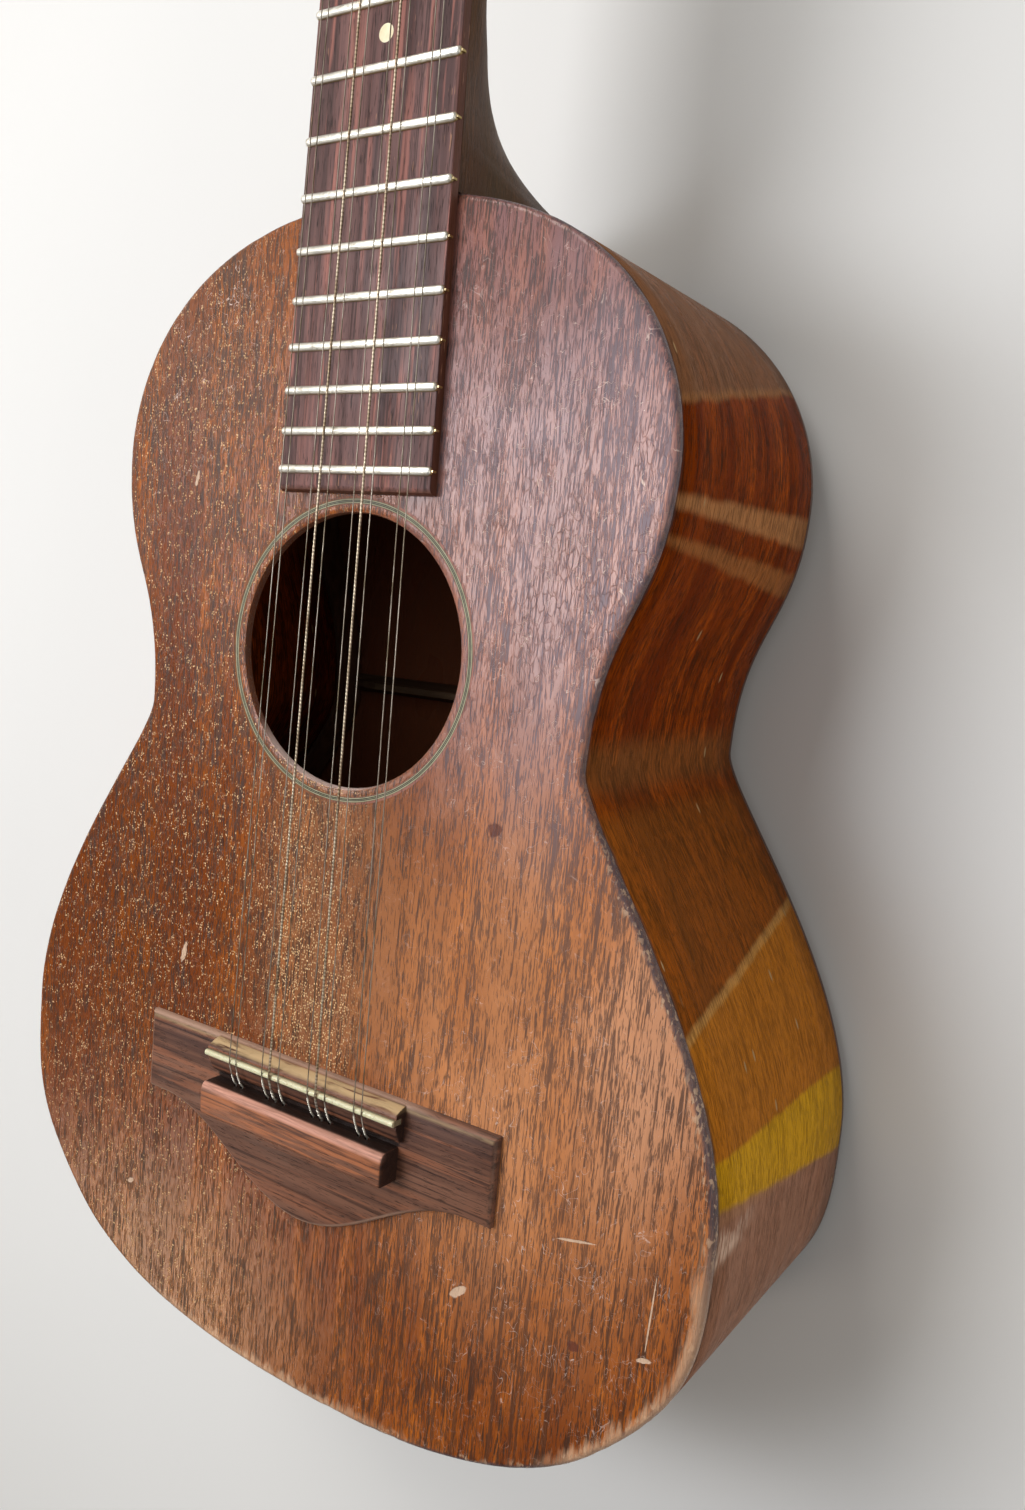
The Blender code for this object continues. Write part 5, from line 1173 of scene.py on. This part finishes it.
def string_wire(name, colour, tarnish, winding=None):
    """Tarnished wire, bright behind the saddle, with the rows of its winding where it has one."""
    wire = Finish(name)
    wire.colour = wire.mix(wire.patches((3, 9, 3), 0.4, 0.66, detail=3), colour, tarnish)
    wire.stain(wire.along("y", saddle_y - 1.5, saddle_y - 0.5, 0.85, 0.0), (0.88, 0.84, 0.74))
    normal = None
    if winding:
        rows = wire.add("TexWave", {"Vector": wire.place, "Scale": 0.05 / (winding * mm), "Distortion": 0.0},
                        bands_direction="Y").outputs["Fac"]
        wire.stain(wire.between(rows, 0.1, 0.7, 0.55, 0.0), (0.09, 0.06, 0.035))
        normal = wire.relief(rows, 0.05)
    return wire.done(wire.patches((2, 5, 2), 0.3, 0.7, 0.3, 0.5, detail=2), normal, Metallic=0.9)


steel = string_wire("plain_steel", (0.32, 0.28, 0.23), (0.14, 0.11, 0.07))
bronze = string_wire("bronze_winding", (0.60, 0.50, 0.37), (0.30, 0.22, 0.14), winding=0.16)
tie_rear = tie_front - tie_length
post_waist, wrap_start, wrap_turns = 2.6, 4.9, 2.25
clear, coil_gap, twist_radius = 0.03, 0.12, 0.14


def post_of(number):
    """The side that a string's post stands on, and how far up the head it stands."""
    if number <= posts_per_side:
        return -1, first_post + post_pitch * (number - 1)
    return 1, first_post + post_pitch * (len(strings) - number)


balls = bmesh.new()
for number, (radius, x, nut_x) in enumerate(strings, start=1):
    over, at_nut = saddle_crest + clear + radius, slot_foot + clear + radius
    way, post_u = post_of(number)
    route = [(x, tie_rear - 1.2, string_height), (x, tie_front + 0.3, string_height),
             (x, tie_front + 1.4, string_height + 1.0), (x, saddle_y - 3.4, over - 1.1),
             (x, saddle_y - 0.9, over - 0.22), (x, saddle_y, over), (x, saddle_y + 1.2, over - 0.02),
             (nut_x, -1.0, at_nut), (nut_x, 0.6, at_nut), (nut_x, 4.4, at_nut - 1.0)]
    reach = post_waist + 0.05 + radius
    steps = 24
    for i in range(round(wrap_turns * steps) + 1):
        turn = math.pi - math.tau * i / steps
        across = way * (post_from_middle + reach * math.cos(turn))
        climb = (2 * radius + coil_gap) * i / steps
        route.append(head_turn @ Vector((across, post_u + reach * math.sin(turn), wrap_start + climb)))
    kind, wire, slot = "steel", steel, "string_steel"
    if radius != plain:
        kind, wire, slot = "wound", bronze, "wound_bronze"
    curve = bpy.data.curves.new(f"{kind}_string_{number}", "CURVE")
    curve.dimensions, curve.use_fill_caps = "3D", True
    curve.bevel_depth, curve.bevel_resolution = radius * mm, 3
    runs = [(route, 1.0)]
    down = [Vector(p) for p in route[1:5]]
    twisted_share = (0.95, 0.62, 0.8)[number % 3]
    twists, steps = 6.5, 60
    for phase in (0, math.pi):
        coil = []
        for i in range(steps + 1):
            share = i / steps
            step = share * twisted_share * (len(down) - 1.001)
            middle = down[int(step)].lerp(down[int(step) + 1], step % 1)
            turn = phase + share * math.tau * twists
            swell = (radius + 0.06) * (1 if share < 0.9 else (1 - share) * 10)
            coil.append(middle + Vector((swell * math.cos(turn), 0, swell * math.sin(turn))))
        runs.append((coil, twist_radius / radius))
    for run_points, thick in runs:
        spline = curve.splines.new("POLY")
        spline.points.add(len(run_points) - 1)
        for point, place in zip(spline.points, run_points):
            point.co = (*on_bench(*place), 1)
            point.radius = thick
        spline.use_smooth = True
    piece = bpy.data.objects.new(curve.name, curve)
    fit(piece, wire, stands_for=[f"string_{number}"])
    turn = Matrix.Translation((x, tie_rear - 1.35, string_height)) @ Matrix.Rotation(math.pi / 2, 4, "X")
    ball = bmesh.new()
    lathe(ball, ((0.45, -0.9), (1.0, -0.9), (1.15, -0.7), (0.95, -0.2), (0.95, 0.2), (1.15, 0.7), (1.0, 0.9),
                 (0.45, 0.9), (0.45, -0.9)), 20)
    bmesh.ops.transform(ball, matrix=turn, verts=ball.verts)
    join(balls, ball)
ball_brass = plated("ball_brass", (0.55, 0.40, 0.17), (0.24, 0.16, 0.07))
settle(balls, "string_balls", ball_brass)

# The tuners: two plates of pressed nickel-plated steel, screwed behind the head, each with
# lugs that carry five worms. A worm turns with its ivory-coloured button, and drives the wheel at
# the foot of a string post, which turns once for fourteen turns of the button.
plate_thickness, screw_inset, screw_past_post = 1.2, 1.5, 9.5
plate_face = -head_thickness - glue_gap - plate_thickness
wheel_teeth, wheel_radius, worm_radius = 14, 5.4, 2.3
addendum, dedendum = 0.65, 0.8
thread_pitch = math.tau * wheel_radius / wheel_teeth
wheel_to_worm = wheel_radius + worm_radius
worm_level = plate_face - 0.3 - worm_radius - addendum
worm_half, lug_face, lug_thickness = 3.65, 3.95, 1.2
button_start, button_length, button_thickness = 15.5, 14.0, 6


def softened_copy(node, width):
    """A node's shape with its loose triangles merged and its edges rounded, in mm from the nut."""
    copy = bmesh.new()
    copy.from_mesh(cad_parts[node].data)
    bmesh.ops.remove_doubles(copy, verts=copy.verts, dist=1e-6)
    bmesh.ops.dissolve_limit(copy, angle_limit=math.radians(2), verts=copy.verts, edges=copy.edges)
    copy.normal_update()
    sharp = [e for e in copy.edges if e.is_manifold and e.calc_face_angle(0) > math.radians(50)]
    bmesh.ops.bevel(copy, geom=sharp, offset=width * mm, segments=2, affect="EDGES", profile=0.5, material=-1,
                    clamp_overlap=True)
    shift(copy, -on_bench(0, 0, 0))
    resize(copy, (1000, 1000, 1000))
    return copy


def screw_head(radius, height, slot_turn):
    """A domed head with its slot, pointing along z."""
    head = bmesh.new()
    lathe(head, ((0, -0.2), (radius, -0.2), (radius, 0.05), (radius * 0.86, height * 0.6),
                 (radius * 0.5, height * 0.93), (0, height)), 20)
    slot = bmesh.new()
    bmesh.ops.create_cube(slot, size=1)
    resize(slot, (radius * 3, radius * 0.26, height))
    shift(slot, (0, 0, height))
    bmesh.ops.rotate(slot, cent=(0, 0, 0), matrix=Matrix.Rotation(slot_turn, 3, "Z"), verts=slot.verts)
    bmesh.ops.remove_doubles(head, verts=head.verts, dist=1e-3)
    return carved(head, slot)


screws = bmesh.new()
flip = Matrix.Rotation(math.pi, 4, "X")
low_end = first_post - wheel_to_worm - 6.0
for hand, way in (("bass", -1), ("treble", 1)):
    plate = f"tuner_plate_{hand}"
    settle(softened_copy(plate, 0.22), f"tuner_strip_{hand}", nickel, stands_for=[plate])
    for i, u in enumerate(
            [low_end + screw_inset,
             *(first_post + post_pitch * n + screw_past_post for n in range(posts_per_side - 1))]):
        head = screw_head(1.35, 0.7, 0.7 + 1.3 * i + way)
        bmesh.ops.transform(head, matrix=Matrix.Translation((way * post_from_middle, u, plate_face)) @ flip,
                            verts=head.verts)
        join(screws, head)
settle(screws, "plate_screws", nickel, turned=head_turn)

button_plastic = Finish("ivory_button")
cloudy = button_plastic.cloud((6, 2.5, 2.5), 4, 0.5)
button_plastic.colour = button_plastic.mix(button_plastic.between(cloudy, 0.3, 0.7), (0.60, 0.47, 0.27),
                                           (0.80, 0.71, 0.50))
button_plastic.stain(button_plastic.patches((0.6, 3, 3), 0.58, 0.7, 0, 0.3, detail=3), (0.42, 0.29, 0.14))
button_finish = button_plastic.done(button_plastic.between(cloudy, 0.3, 0.7, 0.22, 0.36),
                                    button_plastic.relief(cloudy, 0.02), Subsurface_Weight=0.12,
                                    Subsurface_Scale=0.003)


def worm_with_shaft(way):
    """The worm on its shaft, along x from the thread's middle, with the button's collar."""
    bm = bmesh.new()
    root, crest, shaft_radius = worm_radius - dedendum, worm_radius + addendum, 1.4
    root_half, crest_half = 0.27, 0.12
    lug_end = lug_face + lug_thickness
    profile = [(0, -lug_end - 0.3), (1.2, -lug_end - 0.3), (shaft_radius, -lug_end - 0.1),
               (shaft_radius, -worm_half), (root, -worm_half), (root, worm_half), (shaft_radius, worm_half),
               (shaft_radius, button_start - 1.6), (2.1, button_start - 1.5), (2.6, button_start - 0.4),
               (2.6, button_start + 0.6), (0, button_start + 0.6)]
    lathe(bm, [(r, way * h) for r, h in profile], 28, axis=(1, 0, 0))
    turns = (2 * worm_half - 2 * root_half * thread_pitch - 0.1) / thread_pitch
    start = -turns * thread_pitch / 2
    angle = math.tau * start / thread_pitch
    flank = [bm.verts.new(Matrix.Rotation(angle, 3, "X") @ Vector((start + share * thread_pitch, r, 0)))
             for share, r in ((-root_half, root - 0.15), (-crest_half, crest), (crest_half, crest),
                              (root_half, root - 0.15))]
    edges = [bm.edges.new(pair) for pair in zip(flank, flank[1:] + flank[:1])]
    steps = 72
    wound_up = bmesh.ops.spin(bm, geom=flank + edges, cent=(0, 0, 0), axis=(1, 0, 0), angle=math.tau * turns,
                              steps=steps, dvec=(turns * thread_pitch / steps, 0, 0))
    bmesh.ops.contextual_create(bm, geom=edges)
    bmesh.ops.contextual_create(bm,
                                geom=[g for g in wound_up["geom_last"] if isinstance(g, bmesh.types.BMEdge)])
    return bm


def button(way):
    """An oval button with rounded edges, slipped over the shaft's end."""
    bm = bmesh.new()
    bmesh.ops.create_circle(bm, cap_ends=True, segments=48, radius=1)
    for vert in bm.verts:
        x, y = vert.co.x, vert.co.y
        long, wide = math.copysign(abs(x) ** 0.8, x), math.copysign(abs(y) ** 0.8, y)
        vert.co.xy = (button_length / 2 * long, (6.25 - 0.9 * max(0.0, -long)) * wide)
    pull(bm, bm.faces[:], (0, 0, button_thickness))
    bmesh.ops.recalc_face_normals(bm, faces=bm.faces)
    round_over(bm, [e for e in bm.edges if span(e, 2) < 0.1], 2.2, 6)
    shift(bm, (button_start + button_length / 2, 0, -button_thickness / 2))
    resize(bm, (way, 1, 1))
    return bm


def post_with_wheel():
    """The post in one with its wheel, along z from the head's mahogany face."""
    bm = bmesh.new()
    wheel_thickness = 2.2
    wheel_foot = worm_level - wheel_thickness / 2
    boss = plate_face - 0.06
    lathe(bm, ((0, 11.5), (2.1, 11.5), (2.75, 11.2), (3.0, 10.7), (3.0, 9.1), (2.85, 8.8), (2.6, 8.5),
               (2.6, 4.1), (2.8, 3.8), (3.0, 3.4), (3.0, boss), (3.9, boss), (3.9, wheel_foot + 0.2),
               (0, wheel_foot + 0.2)), 32)
    rim = bmesh.ops.create_circle(bm, cap_ends=True, segments=wheel_teeth * 8, radius=wheel_radius)["verts"]
    for vert in rim:
        turn = math.atan2(vert.co.y, vert.co.x)
        share = ((turn + math.pi / 2) / math.tau * wheel_teeth - 0.5) % 1
        down_flank = min(max((min(share, 1 - share) - 0.13) / 0.13, 0), 1)
        lift = addendum - (addendum + dedendum) * down_flank
        vert.co.xy *= (wheel_radius + lift) / wheel_radius
    disc = [f for f in bm.faces if len(f.verts) > 40]
    wheel = {v for f in pull(bm, disc, (0, 0, wheel_thickness)) + disc for v in f.verts}
    shift(bm, (0, 0, wheel_foot), list(wheel))
    screw = screw_head(2.0, 0.8, 0.5)
    bmesh.ops.transform(screw, matrix=Matrix.Translation((0, 0, wheel_foot)) @ flip, verts=screw.verts)
    join(bm, screw)
    return bm


for number in range(1, len(strings) + 1):
    way, post_u = post_of(number)
    post, worm = f"post_{number}", f"worm_{number}"
    on_post = head_turn @ Matrix.Translation((way * post_from_middle, post_u, 0))
    on_worm = head_turn @ Matrix.Translation((way * post_from_middle, post_u - wheel_to_worm, worm_level))
    settle(post_with_wheel(), f"post_and_wheel_{number}", nickel, post, [post], turned=on_post)
    settle(worm_with_shaft(way), f"worm_shaft_{number}", nickel, worm, [worm], turned=on_worm)
    settle(button(way), f"button_{number}", button_finish, worm, [worm], turned=on_worm)

size = {"cad": [list(c) for c in cad_box], "visual": [list(c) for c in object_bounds()]}
